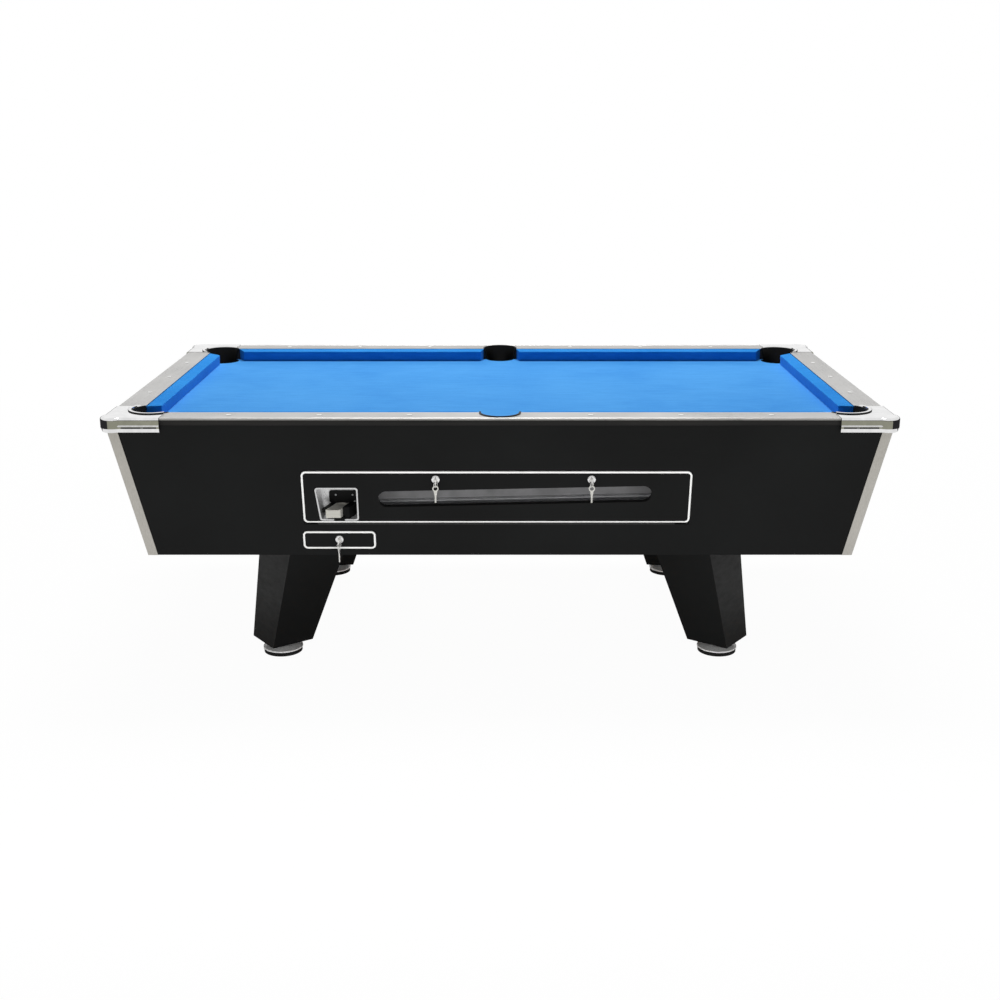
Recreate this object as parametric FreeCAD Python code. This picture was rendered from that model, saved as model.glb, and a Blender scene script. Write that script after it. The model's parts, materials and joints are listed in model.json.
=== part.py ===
"""Coin-operated six-pocket pool table, built up from its separate pieces.

Millimetres, +Z up, floor at Z = 0 under the middle of the table. X runs along the table,
and the side with the coin slide faces -Y.
"""
import FreeCAD, Part
import math
import os

V = FreeCAD.Vector
X_AXIS = V(1, 0, 0)
Y_AXIS = V(0, 1, 0)
Z_AXIS = V(0, 0, 1)
ORIGIN = V(0, 0, 0)

# Top frame
RAIL_LENGTH = 2110.0
RAIL_WIDTH = 1175.0
RAIL_TOP = 753.0
CAPPING_W = 74.0
CAPPING_T = 2.0
CAPPING_LIP = 6.0
CAPPING_SEAM = 0.6
FASCIA_SETBACK = 6.0
SIGHT_D = 14.0
SIGHT_T = 0.8
SIGHT_INSET = 39.0
SIGHT_END = 83.0
SIGHT_STEPS = 8

# Playing bed and cushions
BED_DROP = 36.0
CLOTH_T = 2.0
SLATE_T = 20.0
SLATE_GAP = 2.0
CUSHION_W = 38.0
CUSHION_BACK_DROP = 1.5
NOSE_DROP = 4.5
NOSE_H = 7.0
NOSE_UNDERCUT = 2.0

# Pockets
CORNER_POCKET_R = 56.0
CORNER_POCKET_OFFSET = 3.0
CORNER_MOUTH = 98.0
CORNER_FACING_DEG = 60.0
MIDDLE_POCKET_R = 52.0
MIDDLE_POCKET_SETBACK = 45.0
MIDDLE_MOUTH = 132.0
MIDDLE_FACING_DEG = 76.0
LINER_T = 3.0
LINER_TAPER = 14.0
LINER_TAIL = 10.0
LINER_FIT = 0.5
LINER_RIM_W = 5.0
LINER_RIM_H = 2.5

# Cabinet
CABINET_BOTTOM = 346.0
PANEL_LEAN_DEG = 10.3
PANEL_T = 18.0
PANEL_SETBACK = 1.5
PANEL_TOP_DROP = 22.0
RAIL_REBATE_GAP = 1.0
BASE_T = 18.0
BEARER_W = 45.0
BEARER_H = 70.0
BEARER_POCKET_GAP = 60.0
TRIM_FLANGE = 26.0
TRIM_T = 2.0
TRIM_R = 1.6
TRIM_TOP_GAP = 1.0

# Corner castings
CAP_REACH = 148.0
CAP_PROUD = 8.0
CAP_NOSE_R = 36.0
CAP_NOSE_INSET = 22.0
CAP_LIFT = 1.5
CAP_H = 40.0
CAP_EDGE_R = 7.0
CAP_FOOT_R = 2.0
CAP_FIT = 0.5
CAP_RIM_W = 9.0
CAP_RIM_H = 3.0
CAP_GROOVE_Z = 25.0
CAP_GROOVE_H = 4.0
CAP_GROOVE_DEEP = 3.0
CAP_GROOVE_MARGIN = 7.0
CAP_GROOVE_START = 47.0
CAP_BEAD_R = 2.2
CAP_BEAD_DROP = 22.0
CAP_LIP_LEAN = 2.6
CAP_WEB_W = 6.0
CAP_SCREW_R = 2.4
CAP_SCREW_PROUD = 1.0
CAP_SCREW_DEEP = 4.0

# Legs and levelling feet
LEG_H = 307.0
LEG_TOP_W = 187.0
LEG_BOTTOM_W = 129.0
LEG_TURN_DEG = 36.0
REAR_LEG_TURN_DEG = 9.0
LEG_END_INSET = 487.0
LEG_SPLAY = 75.0
LEG_SIDE_INSET = 226.5
REAR_LEG_INSET = 64.5
LEG_BOLT_R = 6.0
LEG_BOLT_HEAD_R = 11.0
LEG_BOLT_HEAD_H = 6.0
LEG_BOLT_LENGTH = 70.0
LEG_BOLT_PITCH = 90.0
BOLT_FIT = 0.3
FOOT_D = 116.0
FOOT_PAD_H = 12.0
FOOT_PAD_INSET = 2.0
FOOT_EDGE_R = 1.5
FOOT_RIM_H = 4.0
FOOT_DOME_H = 10.0
FOOT_NECK_R = 24.0
FOOT_GAP = 0.3
STEM_R = 8.0
STEM_LENGTH = 60.0
STEM_FIT = 0.05
STEM_END_GAP = 5.0

# Service door in the front panel, on the panel's own face: u along X, v up the slope, w outwards
DOOR_LEFT = -541.0
DOOR_LENGTH = 1063.0
DOOR_LOW = 101.0
DOOR_H = 156.0
DOOR_T = 15.0
DOOR_R = 14.0
EDGE_TRIM_W = 5.0
EDGE_TRIM_PROUD = 1.0
DOOR_GAP = 1.5
HINGE_GAP = 4.0
HINGE_LEAF_T = 1.4
HINGE_BARREL_R = 3.0
HINGE_PIN_R = 1.5
HINGE_FIT = 0.05
HINGE_CLEAR = 0.4
HINGE_PROUD = 0.5
HINGE_END = 40.0
HINGE_KNUCKLES = 15

# Ball gallery slot and trough
SLOT_INSET = 207.0
SLOT_LENGTH = 749.0
SLOT_UP = 80.0
SLOT_H = 48.0
SLOT_RISE_DEG = 1.3
TROUGH_WALL = 4.0
TROUGH_WIDTH = 64.0
TROUGH_SINK = 14.0
TROUGH_BACK_H = 70.0
TROUGH_FRONT_H = 12.0
TROUGH_DOOR_GAP = 6.0
TROUGH_END = 14.0
TROUGH_POST_W = 44.0
TROUGH_POST_T = 6.0
TROUGH_POST_INSET = 120.0
LEDGE_H = 10.0
LEDGE_W = 14.0
LEDGE_STOP = 8.0

# Coin recess, mechanism and push slide
TRAY_INSET = 36.0
TRAY_LENGTH = 114.5
TRAY_UP = 9.5
TRAY_H = 96.0
TRAY_SKEW = 12.0
TRAY_R = 8.0
TRAY_RIM_W = 4.0
TRAY_RIM_H = 2.0
TRAY_WALL = 1.6
TRAY_DEPTH = 40.0
TRAY_DRAFT = 5.0
TRAY_FIT = 0.4
MECH_LENGTH = 70.0
MECH_DEPTH = 54.0
MECH_EDGE = 5.0
MECH_DROP = 26.0
MECH_EXTRA = 34.0
PLATE_INSET = 33.0
PLATE_DROP = 24.0
PLATE_LIFT = 2.0
PLATE_T = 3.5
PLATE_R = 7.0
SLIDE_INSET = 47.0
SLIDE_UP = 33.0
SLIDE_W = 40.0
SLIDE_T = 8.0
SLIDE_YAW_DEG = 28.0
SLIDE_REACH = 8.0
SLIDE_HANDLE_H = 23.5
SLIDE_HANDLE_T = 10.0
SLIDE_LENGTH = 108.0
SLIDE_PUSH = 45.0
SLIDE_FIT = 0.4
SLIDE_LIP_W = 4.0
SLIDE_LIP_H = 1.2
COIN_R = 11.5
COIN_SINK = 2.0
COIN_BACK = 38.0
CHEEK_W = 15.0
CHEEK_H = 12.0
CHEEK_LIFT = 0.5
GUARD_BACK = 2.0
GUARD_W = 17.0
GUARD_SLOPE = 29.0
GUARD_LIFT = 4.0
SHOE_INSET = 48.5
SHOE_LENGTH = 29.0
SHOE_T = 2.5
SHOE_DROP = 1.5
SHOE_CLEAR = 0.8

# Ball release gate at the head of the trough
GATE_PIN_R = 3.0
GATE_FIT = 0.05
GATE_T = 3.0
GATE_H = 34.0
GATE_SIDE_GAP = 1.0
GATE_LIFT = 60.0
GATE_EAR_W = 12.0

# Ball runs under the bed
RUN_WIDTH = 100.0
RUN_WALL = 3.0
RUN_H = 33.0
RUN_SLOPE_DEG = 0.8
CROSS_SLOPE_DEG = 2.2
RUN_PANEL_GAP = 10.0
RUN_HEAD_DROP = 45.0
RUN_STEP = 2.0
RUN_END_GAP = 2.0
RUN_MEET = 14.0
RUN_OVERSHOOT = 30.0
RUN_CORNER_INSET = 10.0
HANGER_W = 24.0
HANGER_INSET = 260.0

# Cash drawer
DRAWER_LEFT = -546.0
DRAWER_LENGTH = 201.0
DRAWER_LOW = 20.3
DRAWER_H = 53.7
DRAWER_R = 12.0
BOX_CLEAR = 5.0
BOX_WALL = 3.0
BOX_DEPTH = 230.0
RUNNER_W = 18.0
RUNNER_CLEAR = 0.3
RUNNER_FRONT_GAP = 3.0

# Cam locks and their keys
DOOR_LOCK_INSET = 366.0
DOOR_LOCK_PITCH = 424.0
DOOR_LOCK_DROP = 23.0
DRAWER_LOCK_RISE = 29.7
LOCK_HEAD_R = 12.0
LOCK_HEAD_H = 5.0
LOCK_HEAD_FILLET = 3.0
LOCK_BODY_R = 9.0
LOCK_HOLE_FIT = 0.2
PLUG_R = 6.0
PLUG_FIT = 0.05
PLUG_PROUD = 0.6
CAM_T = 3.0
CAM_W = 14.0
CAM_LENGTH = 34.0
CAM_GAP = 0.6
BOW_T = 2.0
BOW_W = 16.0
BOW_LENGTH = 17.0
BOW_HOLE_R = 4.5
BOW_HOLE_BACK = 6.5
RING_R = 6.5
RING_WIRE_R = 0.8
RING_SEAT = 0.8
RING_TURN_DEG = 45.0
KEY_BOW_R = 8.5
KEY_EYE_R = 5.2
KEY_T = 2.2
KEY_SHOULDER_W = 10.0
KEY_SHOULDER_H = 16.0
KEY_BLADE_W = 4.4
KEY_LENGTH = 48.0
DRAWER_KEY_TURN_DEG = 80.0

# Values worked out from the sizes above
HALF_L = RAIL_LENGTH / 2
HALF_W = RAIL_WIDTH / 2
SIGHT_PITCH = (RAIL_LENGTH - 2 * SIGHT_END) / SIGHT_STEPS
LEAN = math.tan(math.radians(PANEL_LEAN_DEG))
COS_LEAN = math.cos(math.radians(PANEL_LEAN_DEG))
SIN_LEAN = math.sin(math.radians(PANEL_LEAN_DEG))
PANEL_RUN = PANEL_T / COS_LEAN
PANEL_TOP = RAIL_TOP - PANEL_TOP_DROP
LIP_BOTTOM = RAIL_TOP - CAPPING_LIP
WOOD_TOP = RAIL_TOP - CAPPING_T
BED_TOP = RAIL_TOP - BED_DROP
SLATE_TOP = BED_TOP - CLOTH_T
SLATE_BOTTOM = SLATE_TOP - SLATE_T
BASE_TOP = CABINET_BOTTOM + BASE_T
BEARER_BOTTOM = SLATE_BOTTOM - BEARER_H
NOSE_INSET = CAPPING_W + CUSHION_W
LINER_BOTTOM = SLATE_BOTTOM - LINER_TAIL
CAP_TOP = RAIL_TOP + CAP_LIFT
CAP_BOTTOM = CAP_TOP - CAP_H
LEG_BOTTOM = CABINET_BOTTOM - LEG_H
LEG_TOP_X = HALF_L - LEG_END_INSET
LEG_Y = HALF_W - LEG_SIDE_INSET
DOOR_RIGHT = DOOR_LEFT + DOOR_LENGTH
DOOR_HIGH = DOOR_LOW + DOOR_H
SLOT_LEFT = DOOR_LEFT + SLOT_INSET
SLOT_RIGHT = SLOT_LEFT + SLOT_LENGTH
SLOT_V = DOOR_LOW + SLOT_UP
TRAY_LEFT = DOOR_LEFT + TRAY_INSET
TRAY_RIGHT = TRAY_LEFT + TRAY_LENGTH
TRAY_LOW = DOOR_LOW + TRAY_UP
TRAY_HIGH = TRAY_LOW + TRAY_H
MECH_RIGHT = TRAY_RIGHT - TRAY_DRAFT - MECH_EDGE
MECH_LEFT = MECH_RIGHT - MECH_LENGTH
SLIDE_U = TRAY_LEFT + SLIDE_INSET
SLIDE_TOP_V = TRAY_LOW + SLIDE_UP
DRAWER_RIGHT = DRAWER_LEFT + DRAWER_LENGTH
DRAWER_HIGH = DRAWER_LOW + DRAWER_H
# Plain overrun of a cutting shape past what it cuts, and how closely an edge is matched to a height
THROUGH = 40.0
EDGE_TOLERANCE = 0.01


def panel_inset(z):
    """Distance from the outer edge of the rails in to the panel's outer face at height z."""
    return PANEL_SETBACK + LEAN * (LIP_BOTTOM - z)


def inner_inset(z):
    """Distance from the outer edge of the rails in to the panel's inner face at height z."""
    return panel_inset(z) + PANEL_RUN


SLATE_INSET = inner_inset(SLATE_BOTTOM) + SLATE_GAP
CORNER_POCKET_INSET = NOSE_INSET - CORNER_POCKET_OFFSET
MIDDLE_POCKET_INSET = NOSE_INSET - MIDDLE_POCKET_SETBACK
BEARER_PITCH = HALF_W - CORNER_POCKET_INSET - CORNER_POCKET_R - LINER_T - BEARER_POCKET_GAP - BEARER_W / 2
CORNER_NOSE_CUT = CORNER_MOUTH / math.sqrt(2)
CORNER_FACING_RUN = CUSHION_W / math.tan(math.radians(CORNER_FACING_DEG))
MIDDLE_FACING_RUN = CUSHION_W / math.tan(math.radians(MIDDLE_FACING_DEG))

# The front panel's own frame: u along X, v up the slope, w square out of the face
FACE_FOOT = V(0, panel_inset(CABINET_BOTTOM) - HALF_W, CABINET_BOTTOM)
FACE_U = V(1, 0, 0)
FACE_V = V(0, -SIN_LEAN, COS_LEAN)
FACE_W = V(0, -COS_LEAN, -SIN_LEAN)
FACE = FreeCAD.Placement(FACE_FOOT, FreeCAD.Rotation(X_AXIS, 90 + PANEL_LEAN_DEG))


def face_point(u, v, w):
    return FACE_FOOT + FACE_U * u + FACE_V * v + FACE_W * w


# Drawing helpers
def box(x0, x1, y0, y1, z0, z1):
    return Part.makeBox(x1 - x0, y1 - y0, z1 - z0, V(x0, y0, z0))


def cylinder(radius, height, base, axis=Z_AXIS):
    return Part.makeCylinder(radius, height, base, axis)


def flat(points):
    return Part.Face(Part.makePolygon(points + points[:1]))


def prism(points, along):
    return flat(points).extrude(along)


def block(lower, upper):
    """Solid between two outlines of as many corners, with flat sides."""
    count = len(lower)
    faces = [flat(lower), flat(upper)]
    for i in range(count):
        j = (i + 1) % count
        faces.append(flat([lower[i], lower[j], upper[j], upper[i]]))
    solid = Part.Solid(Part.Shell(faces))
    if solid.Volume < 0:
        solid.reverse()
    return solid


def fused(shapes):
    whole = shapes[0].multiFuse(shapes[1:])
    return whole.removeSplitter()


def mirrored(shape, axis):
    return shape.mirror(ORIGIN, axis)


def four_corners(shape):
    """The piece drawn at +X +Y, copied to the four corners of the table."""
    right = {"rear_right": shape, "front_right": mirrored(shape, Y_AXIS)}
    left = {name.replace("right", "left"): mirrored(piece, X_AXIS) for name, piece in right.items()}
    return {**right, **left}


def on_face(shape):
    """Moves a piece drawn in u, v, w onto the front panel."""
    placed = shape.copy()
    placed.Placement = FACE.multiply(placed.Placement)
    return placed


def rounded_outline(corners, radius):
    """Closed wire through flat corners in the u, v plane, with each corner rounded."""
    edges = []
    count = len(corners)
    ends = []
    for i in range(count):
        here = corners[i]
        back = (corners[i - 1] - here).normalize()
        ahead = (corners[(i + 1) % count] - here).normalize()
        half = back.getAngle(ahead) / 2
        reach = radius / math.tan(half)
        middle = here + (back + ahead).normalize() * (radius / math.sin(half) - radius)
        ends.append((here + back * reach, middle, here + ahead * reach))
    for i in range(count):
        start, middle, stop = ends[i]
        edges.append(Part.Arc(start, middle, stop).toShape())
        edges.append(Part.LineSegment(stop, ends[(i + 1) % count][0]).toShape())
    return Part.Wire(edges)


def rectangle(u0, u1, v0, v1):
    return [V(u0, v0, 0), V(u1, v0, 0), V(u1, v1, 0), V(u0, v1, 0)]


def slab(corners, radius, w0, w1):
    """Rounded plate in the u, v, w frame, between depths w0 and w1."""
    plate = Part.Face(rounded_outline(corners, radius)).extrude(V(0, 0, w1 - w0))
    plate.translate(V(0, 0, w0))
    return plate


def compound(shapes):
    return Part.makeCompound(list(shapes))


# Pocket bodies, drawn as tapered tubes about the pocket's own upright axis
def pocket_cone(centre, radius, extra, top, bottom):
    """Tapered plug of the pocket's bore, widened by extra, between two heights."""
    drop = LINER_TAPER / (RAIL_TOP - LINER_BOTTOM)
    low = radius + extra - drop * (RAIL_TOP - bottom)
    high = radius + extra - drop * (RAIL_TOP - top)
    return Part.makeCone(low, high, top - bottom, V(centre.x, centre.y, bottom))


CORNER_CENTRE = V(HALF_L - CORNER_POCKET_INSET, HALF_W - CORNER_POCKET_INSET, 0)
MIDDLE_CENTRE = V(0, HALF_W - MIDDLE_POCKET_INSET, 0)


def pocket_clearances():
    """What every piece beside a pocket is cut by: the outside of the six liners with their fit."""
    extra = LINER_T + LINER_FIT
    corner = pocket_cone(CORNER_CENTRE, CORNER_POCKET_R, extra, CAP_TOP + THROUGH, LINER_BOTTOM - THROUGH)
    middle = pocket_cone(MIDDLE_CENTRE, MIDDLE_POCKET_R, extra, CAP_TOP + THROUGH, LINER_BOTTOM - THROUGH)
    return compound(list(four_corners(corner).values()) + [middle, mirrored(middle, Y_AXIS)])


POCKETS = pocket_clearances()


def liner(centre, radius, top):
    outside = pocket_cone(centre, radius, LINER_T, top, LINER_BOTTOM)
    inside = pocket_cone(centre, radius, 0.0, top + 1, LINER_BOTTOM - 1)
    return outside.cut(inside)


def corner_pocket_liners():
    tube = liner(CORNER_CENTRE, CORNER_POCKET_R, CAP_TOP)
    mouth_x = HALF_L - CAPPING_W
    mouth_y = HALF_W - CAPPING_W
    mouth = box(0, mouth_x, 0, mouth_y, SLATE_TOP, CAP_TOP + 1)
    return compound(four_corners(tube.cut(mouth)).values())


def middle_pocket_liners():
    tube = liner(MIDDLE_CENTRE, MIDDLE_POCKET_R, RAIL_TOP)
    rim_outer = cylinder(MIDDLE_POCKET_R + LINER_RIM_W, LINER_RIM_H, MIDDLE_CENTRE + Z_AXIS * RAIL_TOP)
    rim_inner = cylinder(MIDDLE_POCKET_R, LINER_RIM_H, MIDDLE_CENTRE + Z_AXIS * RAIL_TOP)
    tube = fused([tube, rim_outer.cut(rim_inner)])
    mouth = box(-HALF_L, HALF_L, 0, HALF_W - CAPPING_W, SLATE_TOP, RAIL_TOP + THROUGH)
    rear = tube.cut(mouth)
    return compound([rear, mirrored(rear, Y_AXIS)])


# Cabinet shell
def wall(long_half, cross_half):
    """Leaning, mitred panel on the +Y side; long_half and cross_half are the half sizes over the rails."""
    outline = []
    for z in (CABINET_BOTTOM, PANEL_TOP):
        out = panel_inset(z)
        back = inner_inset(z)
        outline.append([
            V(-(long_half - out), cross_half - out, z),
            V(long_half - out, cross_half - out, z),
            V(long_half - back, cross_half - back, z),
            V(-(long_half - back), cross_half - back, z),
        ])
    return block(*outline)


def quarter_turned(shape, angle):
    turned = shape.copy()
    turned.rotate(ORIGIN, Z_AXIS, angle)
    return turned


def rear_panel():
    return wall(HALF_L, HALF_W).cut(POCKETS)


def end_panel():
    return quarter_turned(wall(HALF_W, HALF_L), -90).cut(POCKETS)


def front_panel():
    panel = mirrored(rear_panel(), Y_AXIS)
    opening = slab(
        rectangle(DOOR_LEFT - DOOR_GAP, DOOR_RIGHT + DOOR_GAP, DOOR_LOW - HINGE_GAP, DOOR_HIGH + DOOR_GAP),
        DOOR_R, -THROUGH, THROUGH)
    panel = panel.cut(on_face(opening)).cut(on_face(hinge_relief()))
    return panel.cut(drawer_plate(DOOR_GAP, -THROUGH, THROUGH))


def base_board():
    return inner_space(CABINET_BOTTOM, BASE_TOP).cut(leg_bolt_holes())


def corner_trims():
    low = panel_inset(CABINET_BOTTOM)
    high = panel_inset(PANEL_TOP - TRIM_TOP_GAP)
    run = V(low - high, low - high, PANEL_TOP - TRIM_TOP_GAP - CABINET_BOTTOM)
    x = HALF_L - low
    y = HALF_W - low
    corners = [
        V(x - TRIM_FLANGE, y, CABINET_BOTTOM),
        V(x, y, CABINET_BOTTOM),
        V(x, y - TRIM_FLANGE, CABINET_BOTTOM),
        V(x + TRIM_T, y - TRIM_FLANGE, CABINET_BOTTOM),
        V(x + TRIM_T, y + TRIM_T - TRIM_R, CABINET_BOTTOM),
        V(x + TRIM_T - TRIM_R, y + TRIM_T, CABINET_BOTTOM),
        V(x - TRIM_FLANGE, y + TRIM_T, CABINET_BOTTOM),
    ]
    return compound(four_corners(prism(corners, run)).values())


def inner_space(z0, z1):
    """Everything between the four panels' inner faces, from one height to another."""
    rings = []
    for z in (z0, z1):
        x = HALF_L - inner_inset(z)
        y = HALF_W - inner_inset(z)
        rings.append([V(-x, -y, z), V(x, -y, z), V(x, y, z), V(-x, y, z)])
    return block(*rings)


def bed_bearers():
    space = inner_space(BEARER_BOTTOM, SLATE_BOTTOM)
    beams = []
    for y in (-BEARER_PITCH, 0.0, BEARER_PITCH):
        beam = box(-HALF_L, HALF_L, y - BEARER_W / 2, y + BEARER_W / 2, BEARER_BOTTOM, SLATE_BOTTOM)
        beams.append(beam.common(space))
    return compound(beams)


def bed_layer(z0, z1):
    x = HALF_L - SLATE_INSET
    y = HALF_W - SLATE_INSET
    return box(-x, x, -y, y, z0, z1).cut(POCKETS)


# Rails, steel cappings, sights and cushions, drawn for the +Y side of the table
def rail_trapezoid(long_half, cross_half, z0, z1):
    """Mitred strip of the top frame, wide enough for any piece of a rail."""
    deep = NOSE_INSET
    points = [
        V(-long_half, cross_half, z0),
        V(long_half, cross_half, z0),
        V(long_half - deep, cross_half - deep, z0),
        V(-(long_half - deep), cross_half - deep, z0),
    ]
    return prism(points, V(0, 0, z1 - z0))


def rail_section(long_half, cross_half, profile):
    points = [V(-long_half, cross_half - inset, z) for inset, z in profile]
    return prism(points, V(2 * long_half, 0, 0))


def wood_rail(long_half, cross_half):
    rebate = inner_inset(BED_TOP) + RAIL_REBATE_GAP
    profile = [
        (CAPPING_T, WOOD_TOP),
        (CAPPING_T, LIP_BOTTOM),
        (FASCIA_SETBACK, LIP_BOTTOM),
        (FASCIA_SETBACK, PANEL_TOP),
        (rebate, PANEL_TOP),
        (rebate, BED_TOP),
        (CAPPING_W, BED_TOP),
        (CAPPING_W, WOOD_TOP),
    ]
    strip = rail_section(long_half, cross_half, profile)
    return strip.common(rail_trapezoid(long_half, cross_half, BED_TOP, WOOD_TOP))


def capping(long_half, cross_half):
    profile = [
        (0.0, RAIL_TOP),
        (0.0, LIP_BOTTOM),
        (CAPPING_T, LIP_BOTTOM),
        (CAPPING_T, WOOD_TOP),
        (CAPPING_W, WOOD_TOP),
        (CAPPING_W, RAIL_TOP),
    ]
    return rail_section(long_half - CAP_REACH - CAPPING_SEAM, cross_half, profile)


def cushion_profile():
    return [
        (CAPPING_W, BED_TOP),
        (CAPPING_W, RAIL_TOP - CUSHION_BACK_DROP),
        (NOSE_INSET, RAIL_TOP - NOSE_DROP),
        (NOSE_INSET, RAIL_TOP - NOSE_DROP - NOSE_H),
        (NOSE_INSET - NOSE_UNDERCUT, BED_TOP),
    ]


def cushion(cross_half, nose_from, back_from, nose_to, back_to):
    """Cushion on the +Y side between two slanted ends, given where nose and back start and stop."""
    reach = max(abs(back_from), abs(back_to)) + CUSHION_W
    strip = rail_section(reach, cross_half, cushion_profile())
    plan = [
        V(back_from, cross_half - CAPPING_W, BED_TOP),
        V(back_to, cross_half - CAPPING_W, BED_TOP),
        V(nose_to, cross_half - NOSE_INSET, BED_TOP),
        V(nose_from, cross_half - NOSE_INSET, BED_TOP),
    ]
    return strip.common(prism(plan, V(0, 0, BED_DROP)))


def long_cushion():
    corner_nose = HALF_L - NOSE_INSET - CORNER_NOSE_CUT
    middle_nose = MIDDLE_MOUTH / 2
    return cushion(
        HALF_W, middle_nose, middle_nose - MIDDLE_FACING_RUN, corner_nose, corner_nose + CORNER_FACING_RUN)


def end_cushion():
    nose = HALF_W - NOSE_INSET - CORNER_NOSE_CUT
    back = nose + CORNER_FACING_RUN
    return quarter_turned(cushion(HALF_L, -nose, -back, nose, back), -90)


def sights():
    disc = cylinder(SIGHT_D / 2, SIGHT_T, V(0, 0, RAIL_TOP))
    spots = []
    for step in (1, 2, 3):
        for sx in (-1, 1):
            for sy in (-1, 1):
                spots.append(V(sx * step * SIGHT_PITCH, sy * (HALF_W - SIGHT_INSET), 0))
    for step in (-1, 0, 1):
        for sx in (-1, 1):
            spots.append(V(sx * (HALF_L - SIGHT_INSET), step * SIGHT_PITCH, 0))
    placed = []
    for spot in spots:
        copy = disc.copy()
        copy.translate(spot)
        placed.append(copy)
    return compound(placed)


# Corner castings, drawn at +X +Y
CAP_SCREW_INSET = (CAP_NOSE_INSET + CAP_NOSE_R + CAP_REACH) / 2
CAP_SCREW_Z = CAP_BOTTOM + CAP_H - CAP_GROOVE_Z - CAP_GROOVE_H / 2


def cap_screw_pair(radius, proud):
    """The two screws of one casting, one in each outer face."""
    deep = CAP_SCREW_DEEP + proud
    along_y = cylinder(
        radius, deep, V(HALF_L - CAP_SCREW_INSET, HALF_W + CAP_PROUD - CAP_SCREW_DEEP, CAP_SCREW_Z), Y_AXIS)
    along_x = cylinder(
        radius, deep, V(HALF_L + CAP_PROUD - CAP_SCREW_DEEP, HALF_W - CAP_SCREW_INSET, CAP_SCREW_Z), X_AXIS)
    return compound([along_y, along_x])


def cap_grooves():
    """Groove along each outer face, in two lengths either side of the screw's web."""
    start = CAP_GROOVE_START
    stop = CAP_REACH - CAP_GROOVE_MARGIN
    z0 = CAP_SCREW_Z - CAP_GROOVE_H / 2
    z1 = z0 + CAP_GROOVE_H
    cuts = []
    for near, far in ((start, CAP_SCREW_INSET - CAP_WEB_W / 2), (CAP_SCREW_INSET + CAP_WEB_W / 2, stop)):
        cuts.append(box(HALF_L - far, HALF_L - near, HALF_W + CAP_PROUD - CAP_GROOVE_DEEP,
                        HALF_W + CAP_PROUD + THROUGH, z0, z1))
        cuts.append(box(HALF_L + CAP_PROUD - CAP_GROOVE_DEEP, HALF_L + CAP_PROUD + THROUGH,
                        HALF_W - far, HALF_W - near, z0, z1))
    return compound(cuts)


def cap_outline(z, lean):
    """Plan of a casting at one height, from the rails' corner, its outer faces moved in by the lean."""
    out = CAP_PROUD - lean
    return [
        V(-CAP_REACH, out, z), V(out, out, z), V(out, -CAP_REACH, z),
        V(-CAPPING_W, -CAP_REACH, z), V(-CAPPING_W, -CAPPING_W, z), V(-CAP_REACH, -CAPPING_W, z),
    ]


def cap_beads():
    """Half-round bead along each outer face, above the groove, from the rails' corner."""
    z = CAP_TOP - CAP_BEAD_DROP
    length = CAP_REACH - CAP_NOSE_INSET
    along_x = cylinder(CAP_BEAD_R, length, V(-CAP_REACH, CAP_PROUD, z), X_AXIS)
    along_y = cylinder(CAP_BEAD_R, length, V(CAP_PROUD, -CAP_REACH, z), Y_AXIS)
    return [along_x, along_y]


def corner_cap():
    """Casting with upright faces, a round nose, and below the grooves a lip that leans in.

    It is shaped about the rails' corner, then set there and drilled.
    """
    lip_top = CAP_SCREW_Z - CAP_GROOVE_H / 2
    lip = block(cap_outline(CAP_BOTTOM, CAP_LIP_LEAN), cap_outline(lip_top, 0))
    body = prism(cap_outline(lip_top, 0), V(0, 0, CAP_TOP - lip_top))
    inset = -CAP_NOSE_INSET
    corner_square = box(inset, THROUGH, inset, THROUGH, CAP_BOTTOM - 1, CAP_TOP + 1)
    nose = cylinder(CAP_NOSE_R, CAP_TOP - lip_top, V(inset, inset, lip_top))
    chin_foot = V(inset, inset, CAP_BOTTOM)
    chin = Part.makeCone(CAP_NOSE_R - CAP_LIP_LEAN, CAP_NOSE_R, lip_top - CAP_BOTTOM, chin_foot)
    body = fused([body.cut(corner_square), lip.cut(corner_square), nose, chin])
    body = body.makeFillet(CAP_EDGE_R, outer_edges(body, CAP_TOP))
    body = body.makeFillet(CAP_FOOT_R, outer_edges(body, CAP_BOTTOM))
    wall = CAP_FIT - CAPPING_T
    hollow = box(-CAP_REACH - 1, wall, -CAP_REACH - 1, wall, CAP_BOTTOM - 1, WOOD_TOP)
    rim_base = V(-CORNER_POCKET_INSET, -CORNER_POCKET_INSET, CAP_TOP)
    rim_radius = CORNER_POCKET_R + LINER_T + LINER_FIT + CAP_RIM_W
    strip = prism(cap_outline(CAP_TOP, 0), V(0, 0, CAP_RIM_H))
    rim = cylinder(rim_radius, CAP_RIM_H, rim_base).common(strip)
    body = fused([body.cut(hollow), rim] + cap_beads())
    body.translate(V(HALF_L, HALF_W, 0))
    body = body.cut(POCKETS).cut(cap_grooves())
    return body.cut(cap_screw_pair(CAP_SCREW_R + BOLT_FIT, THROUGH))


def outer_edges(body, height):
    """The edges round the outside of a casting at one height."""
    found = []
    for edge in body.Edges:
        centre = edge.CenterOfMass
        level = edge.BoundBox.ZLength < EDGE_TOLERANCE and abs(centre.z - height) < EDGE_TOLERANCE
        if level and (centre.x > 0 or centre.y > 0):
            found.append(edge)
    return found


# Legs, bolts and feet
def leg_square(centre, width, z, rear):
    half = width / math.sqrt(2)
    turn = math.radians((REAR_LEG_TURN_DEG if rear else LEG_TURN_DEG) + 45)
    corners = [turn + quarter * math.pi / 2 for quarter in range(4)]
    return [V(centre.x + half * math.cos(a), centre.y + half * math.sin(a), z) for a in corners]


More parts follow.
